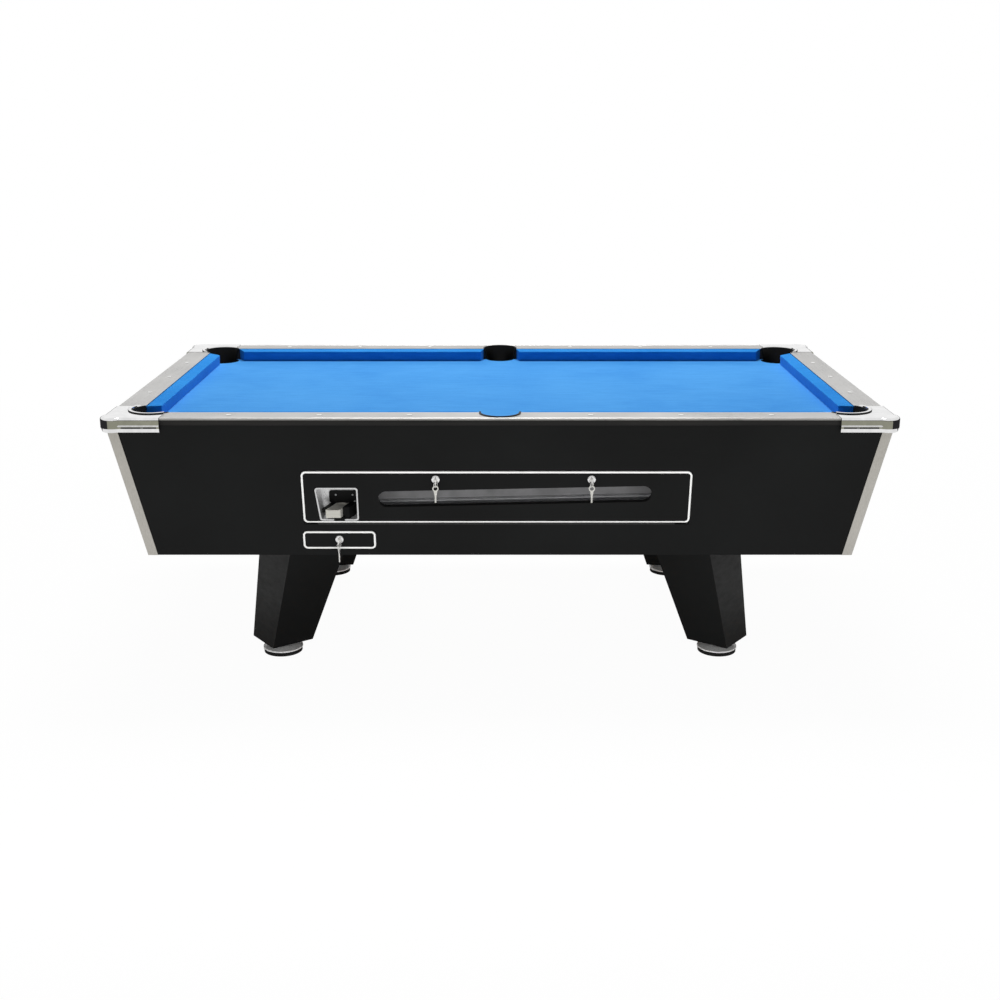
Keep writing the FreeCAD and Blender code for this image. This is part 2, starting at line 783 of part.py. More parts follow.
def leg_top_centre(rear):
    """Middle of a left leg's top."""
    x = -(LEG_TOP_X - REAR_LEG_INSET) if rear else -LEG_TOP_X
    return V(x, LEG_Y if rear else -LEG_Y, CABINET_BOTTOM)


def leg_bottom_centre(rear):
    return leg_top_centre(rear) + V(-LEG_SPLAY, 0, -LEG_H)


def bolt_places(rear):
    centre = leg_top_centre(rear)
    return [centre + Y_AXIS * (side * LEG_BOLT_PITCH / 2) for side in (-1, 1)]


def left_and_right(shape):
    return [shape, mirrored(shape, X_AXIS)]


def leg_bolt_holes():
    holes = []
    for rear in (False, True):
        for place in bolt_places(rear):
            shank_start = V(place.x, place.y, BASE_TOP - LEG_BOLT_LENGTH - STEM_END_GAP)
            hole = cylinder(LEG_BOLT_R + BOLT_FIT, LEG_BOLT_LENGTH + STEM_END_GAP + 1, shank_start)
            holes += left_and_right(hole)
    return compound(holes)


def leg_bolts():
    bolts = []
    for rear in (False, True):
        for place in bolt_places(rear):
            shank = cylinder(LEG_BOLT_R, LEG_BOLT_LENGTH, V(place.x, place.y, BASE_TOP - LEG_BOLT_LENGTH))
            head = cylinder(LEG_BOLT_HEAD_R, LEG_BOLT_HEAD_H, V(place.x, place.y, BASE_TOP))
            bolts += left_and_right(fused([shank, head]))
    return compound(bolts)


def left_leg(rear):
    top = leg_top_centre(rear)
    bottom = leg_bottom_centre(rear)
    foot = leg_square(bottom, LEG_BOTTOM_W, LEG_BOTTOM, rear)
    body = block(foot, leg_square(top, LEG_TOP_W, CABINET_BOTTOM, rear))
    bore = cylinder(STEM_R + STEM_FIT, STEM_LENGTH + STEM_END_GAP, bottom)
    return body.cut(bore).cut(leg_bolt_holes())


def left_leveller(rear):
    """Domed plate with a thin rim, a neck up to the leg and the stem inside it."""
    centre = leg_bottom_centre(rear)
    rim_top = FOOT_PAD_H + FOOT_RIM_H
    neck_top = LEG_BOTTOM - FOOT_GAP
    plate = cylinder(FOOT_D / 2, FOOT_RIM_H, V(centre.x, centre.y, FOOT_PAD_H))
    crown = [edge for edge in plate.Edges if abs(edge.CenterOfMass.z - rim_top) < EDGE_TOLERANCE]
    plate = plate.makeFillet(FOOT_EDGE_R, crown)
    dome_base = V(centre.x, centre.y, rim_top)
    dome = Part.makeCone(FOOT_D / 2 - FOOT_EDGE_R, FOOT_NECK_R, FOOT_DOME_H, dome_base)
    neck = cylinder(FOOT_NECK_R, neck_top - rim_top, dome_base)
    stem = cylinder(STEM_R, STEM_LENGTH + FOOT_GAP, V(centre.x, centre.y, neck_top))
    return fused([plate, dome, neck, stem])


def left_foot_pad(rear):
    centre = leg_bottom_centre(rear)
    return cylinder(FOOT_D / 2 - FOOT_PAD_INSET, FOOT_PAD_H, V(centre.x, centre.y, 0))


# Service door, drawn in u, v, w
def hinge_point(u):
    return V(u, DOOR_LOW - HINGE_GAP / 2, HINGE_PROUD)


def hinge_knuckles(offset):
    """Every second knuckle of the long hinge, starting at the given one."""
    left = DOOR_LEFT + HINGE_END
    step = (DOOR_RIGHT - DOOR_LEFT - 2 * HINGE_END) / HINGE_KNUCKLES
    spans = []
    for index in range(offset, HINGE_KNUCKLES, 2):
        spans.append((left + index * step + HINGE_CLEAR, left + (index + 1) * step - HINGE_CLEAR))
    return spans


def hinge_leaf(own, other, v0):
    """Flat leaf in the gap under the door, with its own knuckles and cut clear of the other leaf's."""
    left = DOOR_LEFT + HINGE_END
    right = DOOR_RIGHT - HINGE_END
    plate = box(left, right, v0, v0 + HINGE_LEAF_T, -DOOR_T, HINGE_PROUD)
    for start, stop in other:
        plate = plate.cut(cylinder(HINGE_BARREL_R + HINGE_CLEAR, stop - start + 4 * HINGE_CLEAR,
                                   hinge_point(start - 2 * HINGE_CLEAR), X_AXIS))
    barrels = [cylinder(HINGE_BARREL_R, stop - start, hinge_point(start), X_AXIS) for start, stop in own]
    return fused([plate] + barrels)


def door_hinge_frame_leaf():
    left = DOOR_LEFT + HINGE_END
    leaf = hinge_leaf(hinge_knuckles(0), hinge_knuckles(1), DOOR_LOW - HINGE_GAP)
    pin_start = hinge_point(left + HINGE_CLEAR)
    pin = cylinder(HINGE_PIN_R, DOOR_RIGHT - DOOR_LEFT - 2 * HINGE_END - 2 * HINGE_CLEAR, pin_start, X_AXIS)
    return on_face(fused([leaf, pin]))


def door_hinge_leaf():
    leaf = hinge_leaf(hinge_knuckles(1), hinge_knuckles(0), DOOR_LOW - HINGE_LEAF_T)
    bore = cylinder(HINGE_PIN_R + HINGE_FIT, DOOR_RIGHT - DOOR_LEFT, hinge_point(DOOR_LEFT), X_AXIS)
    return on_face(leaf.cut(bore))


def hinge_relief():
    return cylinder(HINGE_BARREL_R + HINGE_CLEAR, DOOR_RIGHT - DOOR_LEFT, hinge_point(DOOR_LEFT), X_AXIS)


def gallery_slot(grow, w0, w1):
    """Round-ended slot that rises a little to the right."""
    length = SLOT_RIGHT - SLOT_LEFT - SLOT_H
    radius = SLOT_H / 2 + grow
    bar = box(-length / 2, length / 2, -radius, radius, w0, w1)
    ends = [cylinder(radius, w1 - w0, V(side * length / 2, 0, w0)) for side in (-1, 1)]
    slot = fused([bar] + ends)
    slot.rotate(ORIGIN, Z_AXIS, SLOT_RISE_DEG)
    slot.translate(V((SLOT_LEFT + SLOT_RIGHT) / 2, SLOT_V, 0))
    return slot


DOOR_LOCK_V = DOOR_HIGH - DOOR_LOCK_DROP
DRAWER_LOCK_V = DRAWER_LOW + DRAWER_LOCK_RISE
DRAWER_LOCK_U = (DRAWER_LEFT + DRAWER_RIGHT) / 2
LEFT_LOCK_U = DOOR_LEFT + DOOR_LOCK_INSET
DOOR_LOCKS = {"left": (LEFT_LOCK_U, DOOR_LOCK_V), "right": (LEFT_LOCK_U + DOOR_LOCK_PITCH, DOOR_LOCK_V)}


def lock_hole(place):
    u, v = place
    return cylinder(LOCK_BODY_R + LOCK_HOLE_FIT, 2 * THROUGH, V(u, v, -THROUGH))


def door_panel():
    edge = EDGE_TRIM_W
    outline = rectangle(DOOR_LEFT + edge, DOOR_RIGHT - edge, DOOR_LOW + edge, DOOR_HIGH - edge)
    plate = slab(outline, DOOR_R - edge, -DOOR_T, 0)
    plate = plate.cut(gallery_slot(0, -DOOR_T - 1, 1))
    plate = plate.cut(slab(tray_corners(TRAY_FIT), TRAY_R, -DOOR_T - 1, 1))
    for place in DOOR_LOCKS.values():
        plate = plate.cut(lock_hole(place))
    return on_face(plate)


def door_trim():
    outer = slab(rectangle(DOOR_LEFT, DOOR_RIGHT, DOOR_LOW, DOOR_HIGH), DOOR_R, -DOOR_T, EDGE_TRIM_PROUD)
    edge = EDGE_TRIM_W
    inside = rectangle(DOOR_LEFT + edge, DOOR_RIGHT - edge, DOOR_LOW + edge, DOOR_HIGH - edge)
    ring = outer.cut(slab(inside, DOOR_R - edge, -THROUGH, THROUGH))
    return on_face(ring.cut(hinge_relief()))


# Coin recess, mechanism and slide
def tray_corners(grow):
    return [
        V(TRAY_LEFT + TRAY_SKEW - grow, TRAY_LOW - grow, 0),
        V(TRAY_RIGHT + grow, TRAY_LOW - grow, 0),
        V(TRAY_RIGHT + grow, TRAY_HIGH + grow, 0),
        V(TRAY_LEFT - grow, TRAY_HIGH + grow, 0),
    ]


def tray_funnel(grow, w0, w1):
    """Recess that narrows towards its back, as a block between two outlines."""
    def ring(w):
        draft = grow + TRAY_DRAFT * w / TRAY_DEPTH
        outline = rounded_outline(tray_corners(draft), TRAY_R)
        outline.translate(V(0, 0, w))
        return outline
    return Part.makeLoft([ring(w0), ring(w1)], True, True)


def mech_heights():
    return TRAY_LOW + TRAY_DRAFT, TRAY_HIGH - MECH_DROP


def mech_window(w0, w1, clear):
    """Opening in the back of the recess where the mechanism shows, made smaller all round by clear."""
    low, high = mech_heights()
    edge = MECH_EDGE + clear
    return box(MECH_LEFT + edge, MECH_RIGHT - edge, low + edge, high - edge, w0, w1)


def coin_tray():
    rim_outer = slab(tray_corners(TRAY_RIM_W / 2), TRAY_R, 0, TRAY_RIM_H)
    rim_inner = slab(tray_corners(-TRAY_RIM_W / 2), TRAY_R - TRAY_RIM_W / 2, -1, TRAY_RIM_H + 1)
    shell = tray_funnel(0, -TRAY_DEPTH, 0).cut(tray_funnel(-TRAY_WALL, -TRAY_DEPTH + TRAY_WALL, TRAY_DEPTH))
    window = mech_window(-TRAY_DEPTH - 1, 0, 0)
    tray = fused([shell, rim_outer.cut(rim_inner)]).cut(window)
    return on_face(tray).cut(slide_way())


# The slide runs into the door at a turn and comes out towards the left; its ends are square to the door
SLIDE_YAW = math.radians(SLIDE_YAW_DEG)
SLIDE_RUN = SLIDE_PUSH * math.cos(SLIDE_YAW)
SLIDE_SIDE_FIT = SLIDE_FIT / math.cos(SLIDE_YAW)
SLIDE_LEFT = SLIDE_U - SLIDE_W / 2
SLIDE_RIGHT = SLIDE_U + SLIDE_W / 2


def slide_line(u, w):
    """Place at depth w of a line along the slide that starts at u on the slide's front."""
    return u + (SLIDE_REACH - w) * math.tan(SLIDE_YAW)


def slanted(u0, u1, v0, v1, w0, w1):
    """Block along the slide's line from depth w0 out to w1; u0 and u1 are its sides on the slide's front."""
    corners = [V(slide_line(u, w), v0, w) for u, w in ((u0, w0), (u1, w0), (u1, w1), (u0, w1))]
    return prism(corners, V(0, v1 - v0, 0))


def coin_slide():
    """Bar with a deep handle at its front, a lip on each side of it and a coin's seat in its top."""
    top = SLIDE_TOP_V
    handle_back = SLIDE_REACH - SLIDE_HANDLE_T
    bar = slanted(SLIDE_LEFT, SLIDE_RIGHT, top - SLIDE_T, top, SLIDE_REACH - SLIDE_LENGTH, SLIDE_REACH)
    handle = slanted(SLIDE_LEFT, SLIDE_RIGHT, top - SLIDE_HANDLE_H, top, handle_back, SLIDE_REACH)
    lips = []
    for u0 in (SLIDE_LEFT, SLIDE_RIGHT - SLIDE_LIP_W):
        lips.append(slanted(u0, u0 + SLIDE_LIP_W, top, top + SLIDE_LIP_H, handle_back, SLIDE_REACH))
    seat = SLIDE_REACH - COIN_BACK
    coin = cylinder(COIN_R, COIN_SINK + 1, V(slide_line(SLIDE_U, seat), top - COIN_SINK, seat), Y_AXIS)
    return on_face(fused([bar, handle] + lips).cut(coin))


def slide_way():
    """Room for the bar and its handle over the whole push, with their fit."""
    left = SLIDE_LEFT - SLIDE_SIDE_FIT
    right = SLIDE_RIGHT + SLIDE_SIDE_FIT
    top = SLIDE_TOP_V + SLIDE_LIP_H + SLIDE_FIT
    front = SLIDE_REACH + SLIDE_FIT
    handle_stop = SLIDE_REACH - SLIDE_HANDLE_T - SLIDE_RUN - SLIDE_FIT
    bar_way = slanted(left, right, SLIDE_TOP_V - SLIDE_T - SLIDE_FIT, top, front - 2 * SLIDE_LENGTH, front)
    handle_way = slanted(left, right, SLIDE_TOP_V - SLIDE_HANDLE_H - SLIDE_FIT, top, handle_stop, front)
    return on_face(fused([bar_way, handle_way]))


def slide_cheek():
    """Strip along the left side of the slide."""
    right = SLIDE_LEFT - SLIDE_SIDE_FIT
    top = SLIDE_TOP_V + CHEEK_LIFT
    return slanted(right - CHEEK_W, right, top - CHEEK_H, top, -TRAY_DEPTH, 0)


def slide_guard():
    """Block that fills the recess right of the slide; its front is cut back towards the right wall."""
    side = SLIDE_RIGHT + SLIDE_SIDE_FIT
    front = slide_line(side, -GUARD_BACK)
    plan = [
        V(front, TRAY_LOW, -GUARD_BACK),
        V(front + GUARD_W, TRAY_LOW, -GUARD_BACK),
        V(TRAY_RIGHT, TRAY_LOW, -GUARD_BACK - GUARD_SLOPE),
        V(TRAY_RIGHT, TRAY_LOW, -TRAY_DEPTH),
        V(slide_line(side, -TRAY_DEPTH), TRAY_LOW, -TRAY_DEPTH),
    ]
    return prism(plan, V(0, SLIDE_TOP_V + GUARD_LIFT - TRAY_LOW, 0))


def coin_mech_body():
    """Case behind the recess, and its face plate, cheek, guard and shoe round the slide."""
    low, high = mech_heights()
    case = box(MECH_LEFT, MECH_RIGHT + MECH_EXTRA, low, high, -TRAY_DEPTH - MECH_DEPTH, -TRAY_DEPTH)
    back = -TRAY_DEPTH + TRAY_WALL + TRAY_FIT
    plug = mech_window(-TRAY_DEPTH, back, TRAY_FIT)
    room = tray_funnel(-TRAY_WALL - TRAY_FIT, back, 0)
    face = rectangle(TRAY_LEFT + PLATE_INSET, TRAY_RIGHT, SLIDE_TOP_V + PLATE_LIFT, TRAY_HIGH - PLATE_DROP)
    plate = slab(face, PLATE_R, back, back + PLATE_T)
    fitted = [shape.common(room) for shape in (plate, slide_cheek(), slide_guard(), slide_shoe_strip())]
    solids = [solid for shape in fitted for solid in shape.Solids]
    return on_face(fused([case, plug, slide_shoe_lip()] + solids)).cut(slide_way())


# The shoe lies on the floor of the recess under the slide's handle, and hooks over the rim
SHOE_LEFT = TRAY_LEFT + SHOE_INSET
SHOE_RIGHT = SHOE_LEFT + SHOE_LENGTH
SHOE_TOP_V = SLIDE_TOP_V - SLIDE_HANDLE_H - SHOE_CLEAR


def slide_shoe_strip():
    return box(SHOE_LEFT, SHOE_RIGHT, TRAY_LOW, SHOE_TOP_V, -TRAY_DEPTH, 0)


def slide_shoe_lip():
    over_rim = TRAY_LOW + TRAY_RIM_W / 2 + TRAY_FIT
    front = TRAY_RIM_H + TRAY_FIT
    bridge = box(SHOE_LEFT, SHOE_RIGHT, over_rim, SHOE_TOP_V, 0, front)
    hook = box(SHOE_LEFT, SHOE_RIGHT, TRAY_LOW - SHOE_DROP, SHOE_TOP_V, front, front + SHOE_T)
    return fused([bridge, hook])


# Ball trough behind the gallery slot and the gate at its head
TROUGH_U = (SLOT_LEFT + SLOT_RIGHT) / 2
TROUGH_HALF = (SLOT_RIGHT - SLOT_LEFT) / 2 + TROUGH_END
TROUGH_FLOOR = face_point(0, SLOT_V - SLOT_H / 2, 0).z - TROUGH_SINK
TROUGH_FRONT = face_point(0, (TROUGH_FLOOR - CABINET_BOTTOM) / COS_LEAN, -DOOR_T).y + TROUGH_DOOR_GAP
TROUGH_BACK = TROUGH_FRONT + 2 * TROUGH_WALL + TROUGH_WIDTH
TROUGH_MID = (TROUGH_FRONT + TROUGH_BACK) / 2
TROUGH_PIVOT = V(TROUGH_U, TROUGH_MID, TROUGH_FLOOR)
GATE_PIVOT = V(TROUGH_U + TROUGH_HALF, TROUGH_MID, TROUGH_FLOOR + GATE_LIFT)


def tilted(shape):
    turned = shape.copy()
    turned.rotate(TROUGH_PIVOT, Y_AXIS, -SLOT_RISE_DEG)
    return turned


def ball_trough():
    left = TROUGH_U - TROUGH_HALF
    right = TROUGH_U + TROUGH_HALF
    base = TROUGH_FLOOR
    back_top = base + TROUGH_BACK_H
    back_face = TROUGH_BACK - TROUGH_WALL
    floor = box(left, right, TROUGH_FRONT, TROUGH_BACK, base - TROUGH_WALL, base)
    front = box(left, right, TROUGH_FRONT, TROUGH_FRONT + TROUGH_WALL, base, base + TROUGH_FRONT_H)
    back = box(left, right, back_face, TROUGH_BACK, base, back_top)
    ledge = box(left, right - LEDGE_STOP, back_face - LEDGE_W, back_face, base, base + LEDGE_H)
    stop = box(left, left + TROUGH_WALL, TROUGH_FRONT, TROUGH_BACK, base, back_top)
    channel = tilted(fused([floor, front, back, ledge, stop]))
    ears = []
    for y0 in (TROUGH_FRONT, TROUGH_BACK - TROUGH_WALL):
        ears.append(box(GATE_PIVOT.x - GATE_EAR_W, GATE_PIVOT.x + GATE_EAR_W, y0, y0 + TROUGH_WALL,
                        TROUGH_FLOOR, GATE_PIVOT.z + GATE_EAR_W))
    posts = []
    for x in (left + TROUGH_POST_INSET, right - TROUGH_POST_INSET):
        top = TROUGH_FLOOR + (x - TROUGH_U) * math.tan(math.radians(SLOT_RISE_DEG)) - TROUGH_WALL / 2
        posts.append(box(x - TROUGH_POST_W / 2, x + TROUGH_POST_W / 2, TROUGH_MID - TROUGH_POST_T / 2,
                         TROUGH_MID + TROUGH_POST_T / 2, BASE_TOP, top))
    bore = cylinder(GATE_PIN_R + GATE_FIT, 2 * THROUGH + TROUGH_WIDTH, gate_axis_start(THROUGH), Y_AXIS)
    return fused([channel] + ears + posts).cut(bore)


def gate_axis_start(before):
    return V(GATE_PIVOT.x, TROUGH_FRONT - before, GATE_PIVOT.z)


def ball_gate():
    pin = cylinder(GATE_PIN_R, TROUGH_BACK - TROUGH_FRONT, gate_axis_start(0), Y_AXIS)
    y0 = TROUGH_FRONT + TROUGH_WALL + GATE_SIDE_GAP
    y1 = TROUGH_BACK - TROUGH_WALL - GATE_SIDE_GAP
    x0 = GATE_PIVOT.x - GATE_T / 2
    flap = box(x0, x0 + GATE_T, y0, y1, GATE_PIVOT.z - GATE_H, GATE_PIVOT.z)
    return fused([pin, flap])


# Ball runs hung under the slate
def run_channel(start, yaw, slope, length):
    """Open channel from its head downhill; start is the middle of the floor's upper face."""
    half = RUN_WIDTH / 2
    outer = box(0, length, -half, half, -RUN_WALL, RUN_H - RUN_WALL)
    inner = box(RUN_WALL, length + 1, -half + RUN_WALL, half - RUN_WALL, 0, RUN_H)
    channel = outer.cut(inner)
    channel.Placement = FreeCAD.Placement(start, FreeCAD.Rotation(yaw, slope, 0))
    return channel


def hanger(start, yaw, slope, along):
    """Strap from the side of a run, at a distance along it, up to the slate."""
    turn = FreeCAD.Rotation(yaw, 0, 0)
    foot = start.z - along * math.sin(math.radians(slope))
    half = RUN_WIDTH / 2
    strap = box(along - HANGER_W / 2, along + HANGER_W / 2, half - RUN_WALL, half, foot, SLATE_BOTTOM)
    strap.Placement = FreeCAD.Placement(V(start.x, start.y, 0), turn)
    return strap


def ball_run(start, yaw, slope, length, hangers):
    straps = [hanger(start, yaw, slope, along) for along in hangers]
    return fused([run_channel(start, yaw, slope, length)] + straps)


def run_routes():
    """Start, yaw, slope, length and hanger places of the four runs, each dropping into the next."""
    half = RUN_WIDTH / 2
    fall = math.tan(math.radians(RUN_SLOPE_DEG))
    cross_fall = math.tan(math.radians(CROSS_SLOPE_DEG))
    head = SLATE_BOTTOM - RUN_HEAD_DROP
    side = HALF_W - inner_inset(head) - RUN_PANEL_GAP - half
    far = HALF_L - inner_inset(head) - RUN_PANEL_GAP
    cross_x = CORNER_CENTRE.x - RUN_CORNER_INSET
    rear_length = far + cross_x - half - RUN_END_GAP
    rear_start = V(-far, side, head)
    cross_z = min(head - rear_length * fall, BEARER_BOTTOM) - RUN_H - RUN_STEP
    cross_y = HALF_W - inner_inset(cross_z) - RUN_PANEL_GAP
    cross_start = V(cross_x, cross_y, cross_z)
    front_z_limit = cross_z - 2 * side * cross_fall - RUN_H
    front_side = HALF_W - inner_inset(front_z_limit) - RUN_PANEL_GAP - half
    cross_length = cross_y + front_side - half - RUN_END_GAP
    front_z = cross_z - cross_length * cross_fall - RUN_H - RUN_STEP
    front_far = HALF_L - inner_inset(front_z) - RUN_PANEL_GAP
    gate_x = GATE_PIVOT.x + RUN_MEET
    front_start = V(front_far, -front_side, front_z)
    left_start = V(-far, -side, head)
    left_length = far + gate_x + RUN_OVERSHOOT
    cross_hangers = (cross_y - BEARER_PITCH / 2, cross_y + BEARER_PITCH / 2)
    return [
        (rear_start, 0, RUN_SLOPE_DEG, rear_length, (HANGER_INSET, rear_length - HANGER_INSET)),
        (cross_start, -90, CROSS_SLOPE_DEG, cross_length, cross_hangers),
        (front_start, 180, RUN_SLOPE_DEG, front_far - gate_x, (HANGER_INSET,)),
        (left_start, 0, RUN_SLOPE_DEG, left_length, (HANGER_INSET, left_length - HANGER_INSET)),
    ]


def ball_runs():
    return compound([ball_run(*route) for route in run_routes()])


# Cash drawer: its edges are cut level, so that it can slide straight out of the leaning panel
def drawer_plate(grow, y0, y1):
    """Drawer outline on the panel's face, grown all round, and run level from depth y0 to depth y1."""
    corners = rectangle(DRAWER_LEFT - grow, DRAWER_RIGHT + grow, DRAWER_LOW - grow, DRAWER_HIGH + grow)
    outline = rounded_outline(corners, DRAWER_R + grow)
    outline.Placement = FACE.multiply(outline.Placement)
    plate = Part.Face(outline).extrude(V(0, y1 - y0, 0))
    plate.translate(V(0, y0, 0))
    return plate


DRAWER_RUN = DOOR_T / COS_LEAN
DRAWER_LOCK = (DRAWER_LOCK_U, DRAWER_LOCK_V)


def drawer_trim():
    outer = drawer_plate(0, -EDGE_TRIM_PROUD, DRAWER_RUN)
    return outer.cut(drawer_plate(-EDGE_TRIM_W, -THROUGH, THROUGH))


def drawer_front():
    return drawer_plate(-EDGE_TRIM_W, 0, DRAWER_RUN).cut(on_face(lock_hole(DRAWER_LOCK)))


def box_outline(grow, lift):
    """Cross section of the cash box on the panel's face, grown all round and raised at the top."""
    inset = BOX_CLEAR - grow
    high = DRAWER_HIGH - inset + lift
    return rectangle(DRAWER_LEFT + inset, DRAWER_RIGHT - inset, DRAWER_LOW + inset, high)


def box_prism(grow, lift, y0, y1):
    points = [face_point(p.x, p.y, 0) + Y_AXIS * y0 for p in box_outline(grow, lift)]
    return prism(points, V(0, y1 - y0, 0))


def cash_box():
    outside = box_prism(0, 0, DRAWER_RUN, DRAWER_RUN + BOX_DEPTH)
    inside = box_prism(-BOX_WALL, 2 * BOX_WALL, DRAWER_RUN + BOX_WALL, DRAWER_RUN + BOX_DEPTH - BOX_WALL)
    return outside.cut(inside).cut(on_face(lock_hole(DRAWER_LOCK)))


def drawer_runners():
    top = face_point(0, DRAWER_LOW + BOX_CLEAR, 0).z - RUNNER_CLEAR
    front = inner_inset(BASE_TOP) - HALF_W + RUNNER_FRONT_GAP
    back = front + BOX_DEPTH
    strips = []
    for x0 in (DRAWER_LEFT + BOX_CLEAR, DRAWER_RIGHT - BOX_CLEAR - RUNNER_W):
        strips.append(box(x0, x0 + RUNNER_W, front, back, BASE_TOP, top))
    return compound(strips)


# Locks and keys, drawn about the w axis and then moved to their places
def lock_barrel(place):
    u, v = place
    head = cylinder(LOCK_HEAD_R, LOCK_HEAD_H, V(u, v, 0))
    crown = [edge for edge in head.Edges if abs(edge.CenterOfMass.z - LOCK_HEAD_H) < EDGE_TOLERANCE]
    head = head.makeFillet(LOCK_HEAD_FILLET, crown)
    body = cylinder(LOCK_BODY_R, PANEL_T, V(u, v, -PANEL_T))
    bore = cylinder(PLUG_R + PLUG_FIT, 2 * THROUGH, V(u, v, -THROUGH))
    return on_face(fused([head, body]).cut(bore))


def lock_plug(place):
    """Plug with its cam behind and the turned key's bow in front; the cam points along +u when unlocked."""
    u, v = place
    cam_face = -PANEL_T - CAM_GAP
    face = LOCK_HEAD_H + PLUG_PROUD
    plug = cylinder(PLUG_R, face - cam_face, V(0, 0, cam_face))
    cam = box(-CAM_W / 2, CAM_LENGTH, -CAM_W / 2, CAM_W / 2, cam_face - CAM_T, cam_face)
    bow = box(-BOW_T / 2, BOW_T / 2, -BOW_W / 2, BOW_W / 2, face, face + BOW_LENGTH)
    hole = cylinder(BOW_HOLE_R, 2 * BOW_T, bow_hole_centre() - X_AXIS * BOW_T, X_AXIS)
    whole = fused([plug, cam, bow.cut(hole)])
    whole.translate(V(u, v, 0))
    return on_face(whole)


def bow_hole_centre():
    return V(0, 0, LOCK_HEAD_H + PLUG_PROUD + BOW_LENGTH - BOW_HOLE_BACK)


def key_pivot(place):
    """World place of the hole in the turned key's bow, from which the ring hangs."""
    u, v = place
    hole = bow_hole_centre()
    return face_point(u, v, hole.z)


def key_set(place, turn_deg):
    """Wire ring hung in the bow, and the spare key hanging straight down from it, turned about Z."""
    wire_top = key_pivot(place) - Z_AXIS * (BOW_HOLE_R - RING_WIRE_R - RING_SEAT)
    ring_centre = wire_top - Z_AXIS * RING_R
    turn = math.radians(RING_TURN_DEG)
    ring = Part.makeTorus(RING_R, RING_WIRE_R, ring_centre, V(math.sin(turn), -math.cos(turn), 0))
    wire_low = ring_centre - Z_AXIS * RING_R
    eye = wire_low - Z_AXIS * (KEY_EYE_R - RING_WIRE_R - RING_SEAT)
    key = spare_key()
    key.rotate(ORIGIN, Z_AXIS, turn_deg)
    key.translate(eye)
    return compound([ring, key])


def spare_key():
    """Flat key about its eye, facing -Y: a round bow, a tapered shoulder and a blade."""
    front = V(0, -KEY_T / 2, 0)
    bow = cylinder(KEY_BOW_R, KEY_T, front, Y_AXIS)
    hole = cylinder(KEY_EYE_R, 3 * KEY_T, front - Y_AXIS * KEY_T, Y_AXIS)
    shoulder_top = -(KEY_BOW_R + KEY_EYE_R) / 2
    shoulder_low = shoulder_top - KEY_SHOULDER_H
    tip = KEY_BOW_R - KEY_LENGTH
    outline = [
        V(-KEY_SHOULDER_W / 2, -KEY_T / 2, shoulder_top),
        V(KEY_SHOULDER_W / 2, -KEY_T / 2, shoulder_top),
        V(KEY_BLADE_W / 2, -KEY_T / 2, shoulder_low),
        V(KEY_BLADE_W / 2, -KEY_T / 2, tip),
        V(-KEY_BLADE_W / 2, -KEY_T / 2, tip),
        V(-KEY_BLADE_W / 2, -KEY_T / 2, shoulder_low),
    ]
    blade = prism(outline, V(0, KEY_T, 0))
    return fused([bow, blade]).cut(hole)


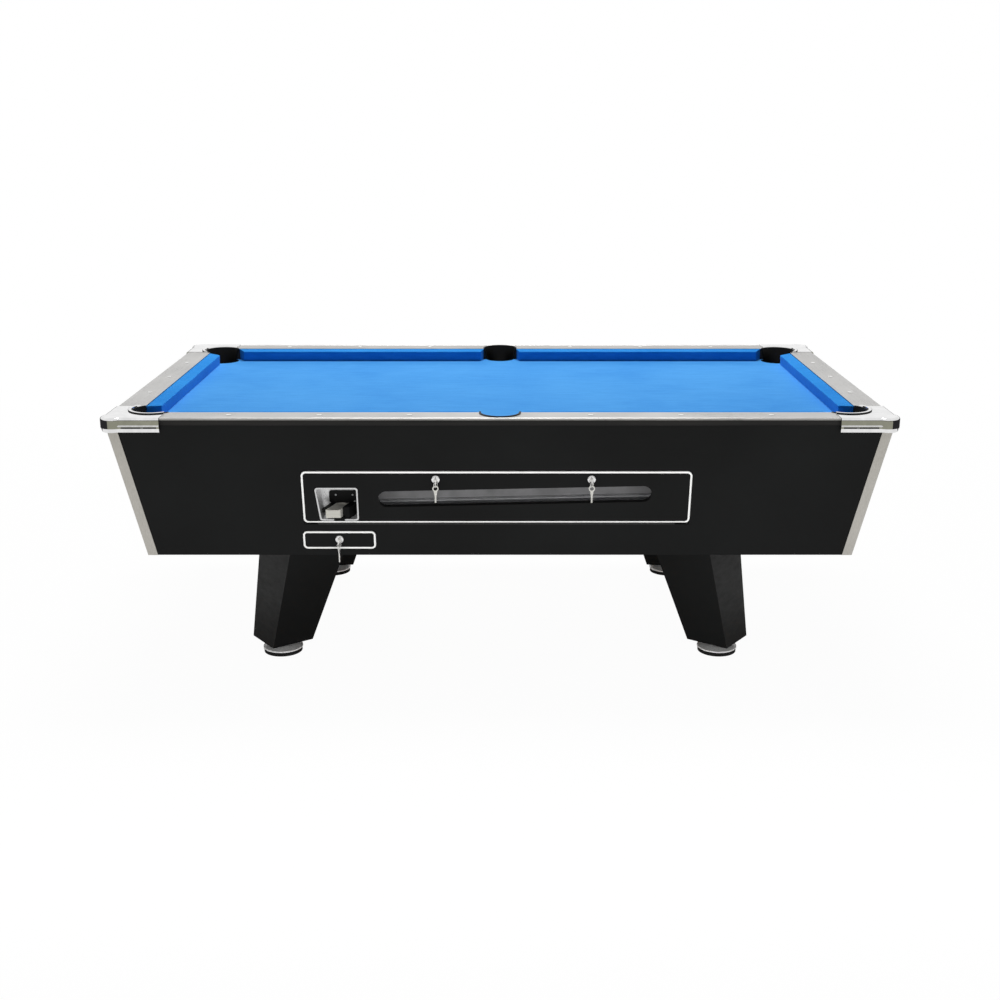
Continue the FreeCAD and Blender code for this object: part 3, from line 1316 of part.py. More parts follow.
# All nodes, by the names of their pieces
def pieces():
    made = {
        "front_panel": front_panel(),
        "rear_panel": rear_panel(),
        "base_board": base_board(),
        "corner_trims": corner_trims(),
        "bed_bearers": bed_bearers(),
        "slate_bed": bed_layer(SLATE_BOTTOM, SLATE_TOP),
        "bed_cloth": bed_layer(SLATE_TOP, BED_TOP),
        "rail_sights": sights(),
        "corner_caps": compound(four_corners(corner_cap()).values()),
        "cap_screws": compound(four_corners(cap_screw_pair(CAP_SCREW_R, CAP_SCREW_PROUD)).values()),
        "corner_pocket_liners": corner_pocket_liners(),
        "middle_pocket_liners": middle_pocket_liners(),
        "ball_runs": ball_runs(),
        "ball_trough": ball_trough(),
        "ball_gate": ball_gate(),
        "leg_bolts": leg_bolts(),
        "door_hinge_frame_leaf": door_hinge_frame_leaf(),
        "door_hinge_leaf": door_hinge_leaf(),
        "door_panel": door_panel(),
        "door_trim": door_trim(),
        "door_lock_barrels": compound([lock_barrel(place) for place in DOOR_LOCKS.values()]),
        "coin_tray": coin_tray(),
        "coin_mech_body": coin_mech_body(),
        "coin_slide": coin_slide(),
        "drawer_runners": drawer_runners(),
        "drawer_front": drawer_front(),
        "drawer_trim": drawer_trim(),
        "drawer_lock_barrel": lock_barrel(DRAWER_LOCK),
        "cash_box": cash_box(),
    }
    right = end_panel()
    made["right_end_panel"] = right
    made["left_end_panel"] = mirrored(right, X_AXIS)

    long_rail = wood_rail(HALF_L, HALF_W).cut(POCKETS)
    end_rail = quarter_turned(wood_rail(HALF_W, HALF_L), -90).cut(POCKETS)
    made["rear_rail"] = long_rail
    made["front_rail"] = mirrored(long_rail, Y_AXIS)
    made["right_rail"] = end_rail
    made["left_rail"] = mirrored(end_rail, X_AXIS)

    long_capping = capping(HALF_L, HALF_W).cut(POCKETS)
    end_capping = quarter_turned(capping(HALF_W, HALF_L), -90).cut(POCKETS)
    made["rail_cappings"] = compound(
        [long_capping, mirrored(long_capping, Y_AXIS), end_capping, mirrored(end_capping, X_AXIS)])

    for corner, piece in four_corners(long_cushion()).items():
        made[corner + "_cushion"] = piece
    made["right_cushion"] = end_cushion()
    made["left_cushion"] = mirrored(made["right_cushion"], X_AXIS)

    for rear, place in ((False, "front"), (True, "rear")):
        for name, piece in (("leg", left_leg(rear)), ("leveller", left_leveller(rear)),
                            ("foot_pad", left_foot_pad(rear))):
            made[place + "_left_" + name] = piece
            made[place + "_right_" + name] = mirrored(piece, X_AXIS)

    for side, place in DOOR_LOCKS.items():
        made[side + "_lock_plug"] = lock_plug(place)
        made[side + "_keys"] = key_set(place, 0)
    made["drawer_lock_plug"] = lock_plug(DRAWER_LOCK)
    made["drawer_keys"] = key_set(DRAWER_LOCK, DRAWER_KEY_TURN_DEG)
    return made


os.makedirs("parts", exist_ok=True)
for node, shape in pieces().items():
    shape.exportStep("parts/" + node + ".step")
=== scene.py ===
"""Looks of the coin-operated pool table: finishes, cloth, cushions, small fittings, light and camera.

Metres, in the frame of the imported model: X along the table, -Y towards the coin slide, Z up.
"""
import json
import math
import bpy
import bmesh
from mathutils import Matrix, Vector


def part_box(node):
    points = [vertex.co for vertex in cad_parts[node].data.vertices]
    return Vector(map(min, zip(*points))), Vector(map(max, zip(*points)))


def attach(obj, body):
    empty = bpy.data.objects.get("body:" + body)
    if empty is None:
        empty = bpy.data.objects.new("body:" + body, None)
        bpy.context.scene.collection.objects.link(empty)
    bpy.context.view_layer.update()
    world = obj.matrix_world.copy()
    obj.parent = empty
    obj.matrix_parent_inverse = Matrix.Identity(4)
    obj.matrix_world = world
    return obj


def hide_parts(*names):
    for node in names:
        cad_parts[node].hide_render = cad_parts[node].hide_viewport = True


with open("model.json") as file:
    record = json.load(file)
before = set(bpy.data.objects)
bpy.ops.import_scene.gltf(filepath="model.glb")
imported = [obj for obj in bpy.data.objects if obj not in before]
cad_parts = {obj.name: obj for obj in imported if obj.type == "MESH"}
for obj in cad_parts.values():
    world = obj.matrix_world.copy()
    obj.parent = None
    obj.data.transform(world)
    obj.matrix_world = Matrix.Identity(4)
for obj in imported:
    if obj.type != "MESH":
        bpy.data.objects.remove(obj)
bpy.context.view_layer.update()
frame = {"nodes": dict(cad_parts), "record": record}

NODES = frame["nodes"]

# Sizes shared with the construction
HALF_L = 1.055
HALF_W = 0.5875
RAIL_TOP = 0.753
BED_TOP = 0.717
CAPPING_W = 0.074
CUSHION_W = 0.038
NOSE_INSET = CAPPING_W + CUSHION_W
CLOTH_T = 0.002
CORNER_POCKET_OFFSET = 0.003
CORNER_POCKET_INSET = NOSE_INSET - CORNER_POCKET_OFFSET
CORNER_POCKET = (HALF_L - CORNER_POCKET_INSET, HALF_W - CORNER_POCKET_INSET)
CORNER_HOLE_R = 0.0521
CORNER_MOUTH = 0.098
CORNER_FACING_DEG = 60
MIDDLE_POCKET_SETBACK = 0.045
MIDDLE_POCKET = (0.0, HALF_W - NOSE_INSET + MIDDLE_POCKET_SETBACK)
MIDDLE_HOLE_R = 0.0481
MIDDLE_MOUTH = 0.132
MIDDLE_FACING_DEG = 76
CAP_RISE = 0.0015
CAP_TOP = RAIL_TOP + CAP_RISE
CAP_REACH = 0.148
CAP_FACE = 0.008
CAP_RIM_R = 0.0685

# Ends and corners of the table, with their signs along X and Y
ENDS = (("left", -1), ("right", 1))
CORNERS = [(front + "_" + left, end, side) for front, side in (("front", -1), ("rear", 1))
           for left, end in ENDS]

# Lengths of the cushions, at the nose and at the back
CORNER_CUT = CORNER_MOUTH / math.sqrt(2)
CORNER_FLARE = CUSHION_W / math.tan(math.radians(CORNER_FACING_DEG))
MIDDLE_FLARE = CUSHION_W / math.tan(math.radians(MIDDLE_FACING_DEG))
LONG_NOSE = (MIDDLE_MOUTH / 2, HALF_L - NOSE_INSET - CORNER_CUT)
LONG_BACK = (LONG_NOSE[0] - MIDDLE_FLARE, LONG_NOSE[1] + CORNER_FLARE)
END_NOSE = HALF_W - NOSE_INSET - CORNER_CUT
END_BACK = END_NOSE + CORNER_FLARE

# The front panel's own frame: u along X, v up the slope, w square out of the face
FACE_FOOT = Vector((0, -0.51306, 0.346))
FACE_U = Vector((1, 0, 0))
FACE_V = Vector((0, -0.1788, 0.9839))
FACE_W = Vector((0, -0.9839, -0.1788))


def face_matrix(u, v, w):
    """Placement on the front panel: X along it, Y up the slope, Z outwards."""
    place = FACE_FOOT + FACE_U * u + FACE_V * v + FACE_W * w
    turn = Matrix((FACE_U, FACE_V, FACE_W)).transposed()
    return Matrix.Translation(place) @ turn.to_4x4()


# Finishes
def linear(red, green, blue):
    """Colour as read off a screen, 0 to 255, in the renderer's own scale."""
    def channel(value):
        share = value / 255
        return share / 12.92 if share <= 0.04045 else ((share + 0.055) / 1.055) ** 2.4
    return (channel(red), channel(green), channel(blue), 1.0)


class Wiring:
    """Short words for adding nodes to a tree and joining them up."""

    def __init__(self, tree):
        self.tree = tree

    def node(self, kind, **values):
        made = self.tree.nodes.new(kind)
        for key, value in values.items():
            setattr(made, key, value)
        return made

    def link(self, source, target):
        self.tree.links.new(source, target)

    def ranged(self, value, low, high, start=0.3, stop=0.7):
        scale = self.node("ShaderNodeMapRange")
        for key, number in (("From Min", start), ("From Max", stop), ("To Min", low), ("To Max", high)):
            scale.inputs[key].default_value = number
        self.link(value, scale.inputs["Value"])
        return scale.outputs["Result"]

    def math(self, operation, first, second=None):
        made = self.node("ShaderNodeMath", operation=operation)
        for socket, value in zip(made.inputs, (first, second)):
            if isinstance(value, (int, float)):
                socket.default_value = value
            elif value is not None:
                self.link(value, socket)
        return made.outputs["Value"]

    def axis(self, vector, letter):
        """The X, Y or Z of a vector socket."""
        split = self.node("ShaderNodeSeparateXYZ")
        self.link(vector, split.inputs["Vector"])
        return split.outputs[letter]


class Finish(Wiring):
    """A surface built from nodes: a main shader, and what varies its colour, gloss and height."""

    def __init__(self, name, metallic=0.0, specular=0.5):
        self.material = bpy.data.materials.new(name)
        self.material.use_nodes = True
        super().__init__(self.material.node_tree)
        self.shader = self.tree.nodes["Principled BSDF"]
        self.shader.inputs["Metallic"].default_value = metallic
        self.shader.inputs["Specular IOR Level"].default_value = specular
        self.place = self.tree.nodes.new("ShaderNodeTexCoord").outputs["Object"]
        self.height = None

    def stretched(self, scale):
        mapping = self.node("ShaderNodeMapping")
        mapping.inputs["Scale"].default_value = scale
        self.link(self.place, mapping.inputs["Vector"])
        return mapping.outputs["Vector"]

    def noise(self, scale, detail=3.0, roughness=0.55, stretch=(1, 1, 1), distortion=0.0):
        texture = self.node("ShaderNodeTexNoise")
        texture.inputs["Scale"].default_value = scale
        texture.inputs["Detail"].default_value = detail
        texture.inputs["Roughness"].default_value = roughness
        texture.inputs["Distortion"].default_value = distortion
        self.link(self.stretched(stretch), texture.inputs["Vector"])
        return texture.outputs["Fac"]

    def blended(self, factor, first, second):
        """Mix of two colours, or of colour sockets, by a factor socket."""
        mix = self.node("ShaderNodeMix", data_type="RGBA")
        self.link(factor, mix.inputs["Factor"])
        for socket, colour in ((mix.inputs["A"], first), (mix.inputs["B"], second)):
            if isinstance(colour, tuple):
                socket.default_value = colour
            else:
                self.link(colour, socket)
        return mix.outputs["Result"]

    def colour(self, source):
        self.link(source, self.shader.inputs["Base Color"])

    def gloss(self, source):
        self.link(source, self.shader.inputs["Roughness"])

    def bump(self, source, strength, distance):
        made = self.node("ShaderNodeBump")
        made.inputs["Strength"].default_value = strength
        made.inputs["Distance"].default_value = distance
        self.link(source, made.inputs["Height"])
        if self.height is not None:
            self.link(self.height, made.inputs["Normal"])
        self.height = made.outputs["Normal"]
        self.link(self.height, self.shader.inputs["Normal"])

    def set(self, **values):
        for key, value in values.items():
            self.shader.inputs[key.replace("_", " ")].default_value = value


def laminate():
    """Black laminated board with a fine pebble and faint handling marks."""
    finish = Finish("black_laminate", specular=0.1)
    cloud = finish.noise(2.2, detail=4)
    marks = finish.noise(26, detail=6, roughness=0.7, stretch=(1, 1, 3))
    tone = finish.math("ADD", finish.math("MULTIPLY", cloud, 0.7), finish.math("MULTIPLY", marks, 0.3))
    finish.colour(finish.blended(finish.ranged(tone, 0, 1), linear(14, 14, 14), linear(22, 23, 23)))
    finish.gloss(finish.ranged(marks, 0.36, 0.52))
    finish.bump(finish.noise(1500, detail=2), 0.12, 0.0002)
    finish.bump(finish.noise(9, detail=2), 0.04, 0.002)
    return finish.material


def board():
    """Painted timber and board: dark paint over a long grain."""
    finish = Finish("painted_board", specular=0.2)
    grain = finish.noise(60, detail=5, roughness=0.65, stretch=(0.06, 1, 1), distortion=0.4)
    finish.colour(finish.blended(finish.ranged(grain, 0, 1), linear(24, 24, 24), linear(38, 37, 36)))
    finish.gloss(finish.ranged(grain, 0.45, 0.62))
    finish.bump(grain, 0.2, 0.0006)
    return finish.material


def raw_board():
    """Unpainted board inside the cabinet, with chips of wood in it."""
    finish = Finish("chip_board", specular=0.2)
    chips = finish.node("ShaderNodeTexVoronoi")
    chips.inputs["Scale"].default_value = 130
    finish.link(finish.stretched((1, 1, 2.5)), chips.inputs["Vector"])
    shade = finish.blended(chips.outputs["Distance"], linear(170, 132, 92), linear(118, 84, 54))
    finish.colour(finish.blended(finish.noise(4), shade, linear(150, 116, 80)))
    finish.gloss(finish.ranged(finish.noise(80), 0.6, 0.85))
    finish.bump(chips.outputs["Distance"], 0.25, 0.0008)
    return finish.material


def slate():
    """Split stone in fine layers."""
    finish = Finish("slate", specular=0.35)
    layers = finish.noise(14, detail=8, roughness=0.65, stretch=(1, 1, 5))
    finish.colour(finish.blended(finish.ranged(layers, 0, 1), linear(70, 74, 80), linear(100, 102, 106)))
    finish.gloss(finish.ranged(layers, 0.55, 0.8))
    finish.bump(layers, 0.3, 0.001)
    return finish.material


def cloth(name, dark, light, sheen):
    """Napped worsted cloth: crossed threads, a soft nap along the table and slow changes of tone."""
    finish = Finish(name, specular=0.06)
    warp = finish.noise(2600, detail=1, stretch=(0.25, 1, 1))
    weft = finish.noise(2600, detail=1, stretch=(1, 0.25, 1))
    threads = finish.math("MULTIPLY", finish.math("ADD", warp, weft), 0.5)
    nap = finish.noise(90, detail=4, roughness=0.6, stretch=(0.16, 1, 1))
    cloud = finish.noise(3.2, detail=4, roughness=0.5)
    tone = finish.math("ADD", finish.math("MULTIPLY", threads, 0.45), finish.math("MULTIPLY", nap, 0.3))
    tone = finish.math("ADD", tone, finish.math("MULTIPLY", cloud, 0.25))
    finish.colour(finish.blended(finish.ranged(tone, 0, 1, 0.36, 0.64), dark, light))
    finish.gloss(finish.ranged(nap, 0.8, 0.95))
    finish.bump(threads, 0.35, 0.0004)
    finish.bump(nap, 0.1, 0.0006)
    finish.set(Sheen_Weight=sheen, Sheen_Roughness=0.45)
    return finish.material


def brushed(name, dark, light, rough, along, scale=420, scratch=0.18, metallic=1.0):
    """Brushed metal: long fine scratches in one direction, with clouding from handling."""
    finish = Finish(name, metallic=metallic)
    lines = finish.noise(scale, detail=5, roughness=0.7, stretch=along)
    cloud = finish.noise(7, detail=4, roughness=0.6)
    tone = finish.math("ADD", finish.math("MULTIPLY", lines, 0.6), finish.math("MULTIPLY", cloud, 0.4))
    finish.colour(finish.blended(finish.ranged(tone, 0, 1), dark, light))
    finish.gloss(finish.math("ADD", finish.ranged(lines, rough - 0.05, rough + 0.07),
                             finish.ranged(cloud, -0.03, 0.05)))
    finish.bump(lines, scratch, 0.0002)
    return finish.material


CAPPING_JOINT = 0.0025


def rail_steel():
    """Brushed steel whose scratches follow each rail: along X on the long ones, along Y on the ends."""
    finish = Finish("rail_steel", metallic=1.0)
    out = finish.math("ABSOLUTE", finish.axis(finish.place, "X"))
    on_end = finish.math("GREATER_THAN", out, HALF_L - CAPPING_W - CAPPING_JOINT)
    long_lines = finish.noise(520, detail=5, roughness=0.7, stretch=(0.02, 1, 1))
    end_lines = finish.noise(520, detail=5, roughness=0.7, stretch=(1, 0.02, 1))
    lines = finish.math("ADD", finish.math("MULTIPLY", end_lines, on_end),
                        finish.math("MULTIPLY", long_lines, finish.math("SUBTRACT", 1.0, on_end)))
    cloud = finish.noise(5, detail=5, roughness=0.6)
    tone = finish.math("ADD", finish.math("MULTIPLY", lines, 0.6), finish.math("MULTIPLY", cloud, 0.4))
    finish.colour(finish.blended(finish.ranged(tone, 0, 1), linear(157, 156, 154), linear(190, 189, 187)))
    finish.gloss(finish.math("ADD", finish.ranged(lines, 0.26, 0.38), finish.ranged(cloud, -0.04, 0.05)))
    finish.bump(lines, 0.22, 0.0002)
    return finish.material


def polished(name, dark, light, rough, metallic=1.0):
    """Plated metal with faint smears and a slight waviness of the casting."""
    finish = Finish(name, metallic=metallic)
    smear = finish.noise(34, detail=5, roughness=0.65, stretch=(1, 1, 0.5), distortion=0.6)
    finish.colour(finish.blended(finish.ranged(smear, 0, 1), dark, light))
    finish.gloss(finish.ranged(smear, rough * 0.6, rough * 1.6))
    finish.bump(finish.noise(60, detail=2), 0.05, 0.001)
    return finish.material


def plated():
    """Dull zinc on hidden steel."""
    finish = Finish("plain_steel", metallic=1.0)
    spangle = finish.node("ShaderNodeTexVoronoi")
    spangle.inputs["Scale"].default_value = 220
    finish.link(finish.place, spangle.inputs["Vector"])
    finish.colour(finish.blended(spangle.outputs["Color"], linear(150, 152, 154), linear(188, 190, 192)))
    finish.gloss(finish.ranged(finish.noise(40, detail=4), 0.3, 0.5))
    finish.bump(finish.noise(700), 0.08, 0.0002)
    return finish.material


def plastic(name, dark, light, rough, grain, specular=0.4, depth=0.18):
    """Moulded plastic or rubber with a fine grain and worn, shinier patches."""
    finish = Finish(name, specular=specular)
    wear = finish.noise(18, detail=5, roughness=0.6)
    finish.colour(finish.blended(finish.ranged(wear, 0, 1), dark, light))
    finish.gloss(finish.ranged(wear, rough - 0.08, rough + 0.1))
    finish.bump(finish.noise(grain, detail=3), depth, 0.0003)
    return finish.material


UPRIGHT = (1, 1, 0.03)
SIDEWAYS = (0.03, 1, 1)
FINISHES = {
    "black_laminate": laminate(),
    "board": board(),
    "slate": slate(),
    "bed_cloth": cloth("bed_cloth", linear(50, 140, 222), linear(88, 174, 244), 0.08),
    "cushion_cloth": cloth("cushion_cloth", linear(20, 124, 212), linear(56, 158, 240), 0.03),
    "rail_steel": rail_steel(),
    "chrome": polished("chrome", linear(214, 214, 214), linear(236, 236, 236), 0.05),
    "key_metal": polished("key_metal", linear(218, 217, 214), linear(242, 241, 238), 0.2, metallic=0.6),
    "trim_aluminium": brushed("trim_aluminium", linear(168, 165, 158), linear(206, 203, 197), 0.36, UPRIGHT),
    "coin_steel": brushed("coin_steel", linear(186, 186, 187), linear(226, 226, 226), 0.3, UPRIGHT, scale=300,
                          metallic=0.7),
    "plain_steel": plated(),
    "hinge_black": plastic("hinge_black", linear(22, 22, 22), linear(34, 34, 34), 0.4, 500),
    "white_trim": plastic("white_trim", linear(232, 232, 230), linear(248, 248, 247), 0.32, 420, depth=0.08),
    "black_plastic": plastic("black_plastic", linear(4, 4, 4), linear(9, 9, 9), 0.45, 650, specular=0.12),
    "grey_plastic": plastic("grey_plastic", linear(150, 150, 151), linear(174, 174, 175), 0.5, 600,
                            specular=0.3),
    "black_rubber": plastic("black_rubber", linear(16, 16, 16), linear(30, 30, 30), 0.7, 380, specular=0.25),
}
SLIDE_METAL = brushed("slide_metal", linear(178, 176, 168), linear(212, 210, 203), 0.36, SIDEWAYS, scale=300,
                      metallic=0.5)
# Faces of the feet steeper than this get a painted near-white highlight
PAINTED_HIGHLIGHT_STEEPNESS = 0.8


def foot_metal():
    """Turned metal of the levelling feet: a grey dish, with a painted near-white highlight on the steep faces
    of its rolled rim.
    """
    finish = Finish("foot_metal", metallic=0.25)
    rings = finish.noise(240, detail=5, roughness=0.7)
    normal = finish.node("ShaderNodeNewGeometry").outputs["True Normal"]
    # Painted highlight: faces steeper than the limit, round the rim, are coloured near-white
    painted_highlight_rim = finish.math("LESS_THAN", finish.math("ABSOLUTE", finish.axis(normal, "Z")), PAINTED_HIGHLIGHT_STEEPNESS)
    dish = finish.blended(finish.ranged(rings, 0, 1), linear(176, 176, 175), linear(210, 210, 209))
    finish.colour(finish.blended(painted_highlight_rim, dish, linear(252, 252, 252)))
    finish.gloss(finish.ranged(rings, 0.25, 0.37))
    finish.bump(rings, 0.18, 0.0002)
    return finish.material


FOOT_METAL = foot_metal()

# The trough's wall and the ledge along its foot that the balls run against; the wall is painted darker as
# shade and the ledge paler as light
TROUGH_BASE = 0.48647
TROUGH_MIDDLE = 0.0405
TROUGH_RISE_DEG = 1.3
TROUGH_RISE = math.tan(math.radians(TROUGH_RISE_DEG))
LEDGE_H = 0.01
CREASE_SHADE_W = 0.0012


def trough_plastic():
    """Painted light on one grey plastic: the wall painted darker as shade, the ledge below it painted paler
    as lit, and a dark line of painted shade in the crease between them, all on the trough's slope.
    """
    finish = Finish("trough_plastic", specular=0.3)
    wear = finish.noise(18, detail=5, roughness=0.6)
    along = finish.math("SUBTRACT", finish.axis(finish.place, "X"), TROUGH_MIDDLE)
    rise = finish.math("MULTIPLY", along, TROUGH_RISE)
    above = finish.math("SUBTRACT", finish.axis(finish.place, "Z"), TROUGH_BASE)
    height = finish.math("SUBTRACT", above, rise)
    # Painted shade on the wall and painted light on the ledge: two tones of the same plastic
    wall = finish.blended(finish.ranged(wear, 0, 1), linear(112, 112, 113), linear(134, 134, 135))
    ledge = finish.blended(finish.ranged(wear, 0, 1), linear(196, 197, 199), linear(222, 223, 225))
    on_wall = finish.math("GREATER_THAN", height, LEDGE_H + CREASE_SHADE_W / 4)
    # A thin dark line of painted shade where the ledge meets the wall
    painted_crease_shade = finish.math("COMPARE", height, LEDGE_H + CREASE_SHADE_W)
    painted_crease_shade.node.inputs[2].default_value = CREASE_SHADE_W * 0.7
    shade = finish.blended(on_wall, ledge, wall)
    finish.colour(finish.blended(painted_crease_shade, shade, linear(20, 20, 21)))
    finish.gloss(finish.ranged(wear, 0.42, 0.6))
    finish.bump(finish.noise(600, detail=3), 0.18, 0.0003)
    return finish.material


SLOT_OF = {row["node"]: row["material_slot"] for row in frame["record"]["subparts"]}
for name, node in NODES.items():
    node.data.materials.clear()
    node.data.materials.append(FINISHES[SLOT_OF[name]])
CHIP_BOARD = raw_board()
for name in ("base_board", "bed_bearers"):
    NODES[name].data.materials[0] = CHIP_BOARD
NODES["coin_slide"].data.materials[0] = SLIDE_METAL
NODES["ball_trough"].data.materials[0] = trough_plastic()
for name in NODES:
    if name.endswith("_leveller"):
        NODES[name].data.materials[0] = FOOT_METAL


# Mesh helpers
SHARP_DEG = 35


def piece(name, mesh, body, slot, matrix=None):
    """Puts a mesh in the scene as a piece of the table that moves with a body."""
    made = bpy.data.objects.new(name, mesh)
    bpy.context.collection.objects.link(made)
    if matrix is not None:
        mesh.transform(matrix)
    if not mesh.materials:
        mesh.materials.append(FINISHES[slot])
    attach(made, body)
    return made


def smooth(mesh, angle_deg=40):
    mesh.shade_smooth()
    mesh.set_sharp_from_angle(angle=math.radians(angle_deg))


def rounded(corners, steps=6):
    """Closed outline from corners (a, b, radius), with each corner turned on its radius."""
    outline = []
    count = len(corners)
    for i, (a, b, radius) in enumerate(corners):
        here = Vector((a, b))
        before = (Vector(corners[i - 1][:2]) - here).normalized()
        after = (Vector(corners[(i + 1) % count][:2]) - here).normalized()
        half = before.angle(after) / 2
        middle = here + (before + after).normalized() * radius / math.sin(half)
        start = here + before * radius / math.tan(half) - middle
        sweep = start.angle_signed(here + after * radius / math.tan(half) - middle)
        for step in range(steps + 1):
            spoke = start.copy()
            spoke.rotate(Matrix.Rotation(-sweep * step / steps, 2))
            outline.append(middle + spoke)
    return outline


def moved_in(outline, distance):
    """Outline with every point moved inwards along its own normal."""
    area = sum(p.x * q.y - q.x * p.y for p, q in zip(outline, outline[1:] + outline[:1]))
    turn = 1 if area > 0 else -1
    shifted = []
    for i, point in enumerate(outline):
        along = (outline[(i + 1) % len(outline)] - outline[i - 1]).normalized()
        shifted.append(point + Vector((-along.y, along.x)) * distance * turn)
    return shifted


def skin(rings):
    """Closed mesh over a row of equal outlines, with flat ends."""
    shape = bmesh.new()
    rows = [[shape.verts.new(point) for point in ring] for ring in rings]
    for row, following in zip(rows, rows[1:]):
        for i in range(len(row)):
            j = (i + 1) % len(row)
            shape.faces.new((row[i], row[j], following[j], following[i]))
    shape.faces.new(reversed(rows[0]))
    shape.faces.new(rows[-1])
    bmesh.ops.recalc_face_normals(shape, faces=shape.faces)
    mesh = bpy.data.meshes.new("skin")
    shape.to_mesh(mesh)
    shape.free()
    return mesh


# Cushions: rubber on a profile, wrapped tight in cloth
CUSHION_GAP = 0.0003
CUSHION_LIFT = 0.0002
CUSHION_BACK = CAPPING_W + CUSHION_GAP
CUSHION_FOOT = BED_TOP + CUSHION_LIFT
BACK_DROP = 0.0015
NOSE_DROP = 0.0045
NOSE_UNDERCUT = 0.002
CUSHION_PROFILE = [
    (CUSHION_BACK, CUSHION_FOOT, 0.001),
    (CUSHION_BACK, RAIL_TOP - BACK_DROP, 0.002),
    (NOSE_INSET, RAIL_TOP - NOSE_DROP, 0.0026),
    (NOSE_INSET - NOSE_UNDERCUT, CUSHION_FOOT, 0.0012),
]
END_ROUND = 0.0009
END_STEPS = 5
CUSHION_STEPS = 40
CUSHION_SMOOTH_DEG = 50


def cushion_rings(nose, back):
    """Outlines (inset, along, z) from one slanted end to the other; the ends are turned over softly."""
    profile = rounded(CUSHION_PROFILE)

    def at(inset, share, shift):
        depth = (inset - CAPPING_W) / (NOSE_INSET - CAPPING_W)
        start = back[0] + (nose[0] - back[0]) * depth + shift
        stop = back[1] + (nose[1] - back[1]) * depth - shift
        return start + (stop - start) * share

    stations = []
    for step in range(END_STEPS + 1):
        turn = math.pi / 2 * step / END_STEPS
        stations.append((END_ROUND * (1 - math.sin(turn)), END_ROUND * (1 - math.cos(turn))))
    rows = [(0, inward, back_off) for inward, back_off in stations]
    rows += [(step / CUSHION_STEPS, 0, END_ROUND) for step in range(1, CUSHION_STEPS)]
    rows += [(1, inward, back_off) for inward, back_off in reversed(stations)]
    rings = []
    for share, inward, back_off in rows:
        outline = moved_in(profile, inward)
        rings.append([(p.x, at(p.x, share, back_off), p.y) for p in outline])
    return rings


def cushion(node, nose, back, place):
    rings = [[place(*point) for point in ring] for ring in cushion_rings(nose, back)]
    mesh = skin(rings)
    smooth(mesh, CUSHION_SMOOTH_DEG)
    made = piece(node + "_wrap", mesh, "cabinet", "cushion_cloth")
    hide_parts(node)


def long_place(end, side):
    return lambda inset, along, z: Vector((end * along, side * (HALF_W - inset), z))


def end_place(end):
    return lambda inset, along, z: Vector((end * (HALF_L - inset), along, z))


for corner, end, side in CORNERS:
    cushion(corner + "_cushion", LONG_NOSE, LONG_BACK, long_place(end, side))
for left, end in ENDS:
    cushion(left + "_cushion", (-END_NOSE, END_NOSE), (-END_BACK, END_BACK), end_place(end))


# Bed cloth: one sheet, cut round the pockets, with its edges turned down
CLOTH_EDGE = 0.0008
HOLE_STEPS = 40
CLOTH_LOW, CLOTH_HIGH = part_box("bed_cloth")


def arc(centre, radius, start_deg, stop_deg, steps):
    angles = [math.radians(start_deg + (stop_deg - start_deg) * i / steps) for i in range(steps + 1)]
    return [(centre[0] + radius * math.cos(a), centre[1] + radius * math.sin(a)) for a in angles]


def cloth_outlines():
    """Outer edge with the two notches of the middle pockets, and the four corner holes."""
    x, y = CLOTH_HIGH.x, CLOTH_HIGH.y
    reach = math.degrees(math.asin((y - MIDDLE_POCKET[1]) / MIDDLE_HOLE_R))
    notch = arc(MIDDLE_POCKET, MIDDLE_HOLE_R, reach, -180 - reach, HOLE_STEPS)
    low_notch = [(-a, -b) for a, b in notch]
    outlines = [[(x, y)] + notch + [(-x, y), (-x, -y)] + low_notch + [(x, -y)]]
    for sx in (-1, 1):
        for sy in (-1, 1):
            centre = (sx * CORNER_POCKET[0], sy * CORNER_POCKET[1])
            last_deg = 360 - 360 / HOLE_STEPS
            outlines.append(arc(centre, CORNER_HOLE_R, 0, last_deg, HOLE_STEPS - 1))
    return outlines


def flat_area(outline):
    pairs = zip(outline, outline[1:] + outline[:1])
    return abs(sum(a[0] * b[1] - b[0] * a[1] for a, b in pairs)) / 2


def bed_cloth():
    outlines = cloth_outlines()
    curve = bpy.data.curves.new("bed_cloth_cut", "CURVE")
    curve.dimensions = "2D"
    curve.fill_mode = "BOTH"
    curve.bevel_depth = CLOTH_EDGE
    curve.bevel_resolution = 3
    curve.extrude = CLOTH_T / 2 - CLOTH_EDGE
    curve.offset = -CLOTH_EDGE
    for outline in outlines:
        spline = curve.splines.new("POLY")
        spline.points.add(len(outline) - 1)
        for point, (x, y) in zip(spline.points, outline):
            point.co = (x, y, 0, 1)
        spline.use_cyclic_u = True
    holder = bpy.data.objects.new("bed_cloth_cut", curve)
    mesh = bpy.data.meshes.new_from_object(holder)
    bpy.data.objects.remove(holder)
    mesh.materials.clear()
    mesh.transform(Matrix.Translation((0, 0, BED_TOP - CLOTH_T / 2)))
    smooth(mesh, SHARP_DEG)
    made = piece("bed_cloth_sheet", mesh, "cabinet", "bed_cloth")
    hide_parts("bed_cloth")
    cut = flat_area(outlines[0]) - sum(flat_area(hole) for hole in outlines[1:])


bed_cloth()

# Soft edges on sharp CAD pieces
LEG_ROUND = 0.0025
EDGE_ROUND = {
    "coin_slide": 0.0008, "rail_cappings": 0.0006, "corner_trims": 0.0005,
    "door_trim": 0.0008, "drawer_trim": 0.0008, "coin_tray": 0.0004, "door_panel": 0.0012,
}
EDGE_ROUND.update({name: LEG_ROUND for name in NODES if name.endswith("_leg")})
for name, width in EDGE_ROUND.items():
    bevel = NODES[name].modifiers.new("soft_edge", "BEVEL")
    bevel.width = width
    bevel.segments = 2
    bevel.limit_method = "ANGLE"
    bevel.angle_limit = math.radians(SHARP_DEG)
    bevel.harden_normals = True

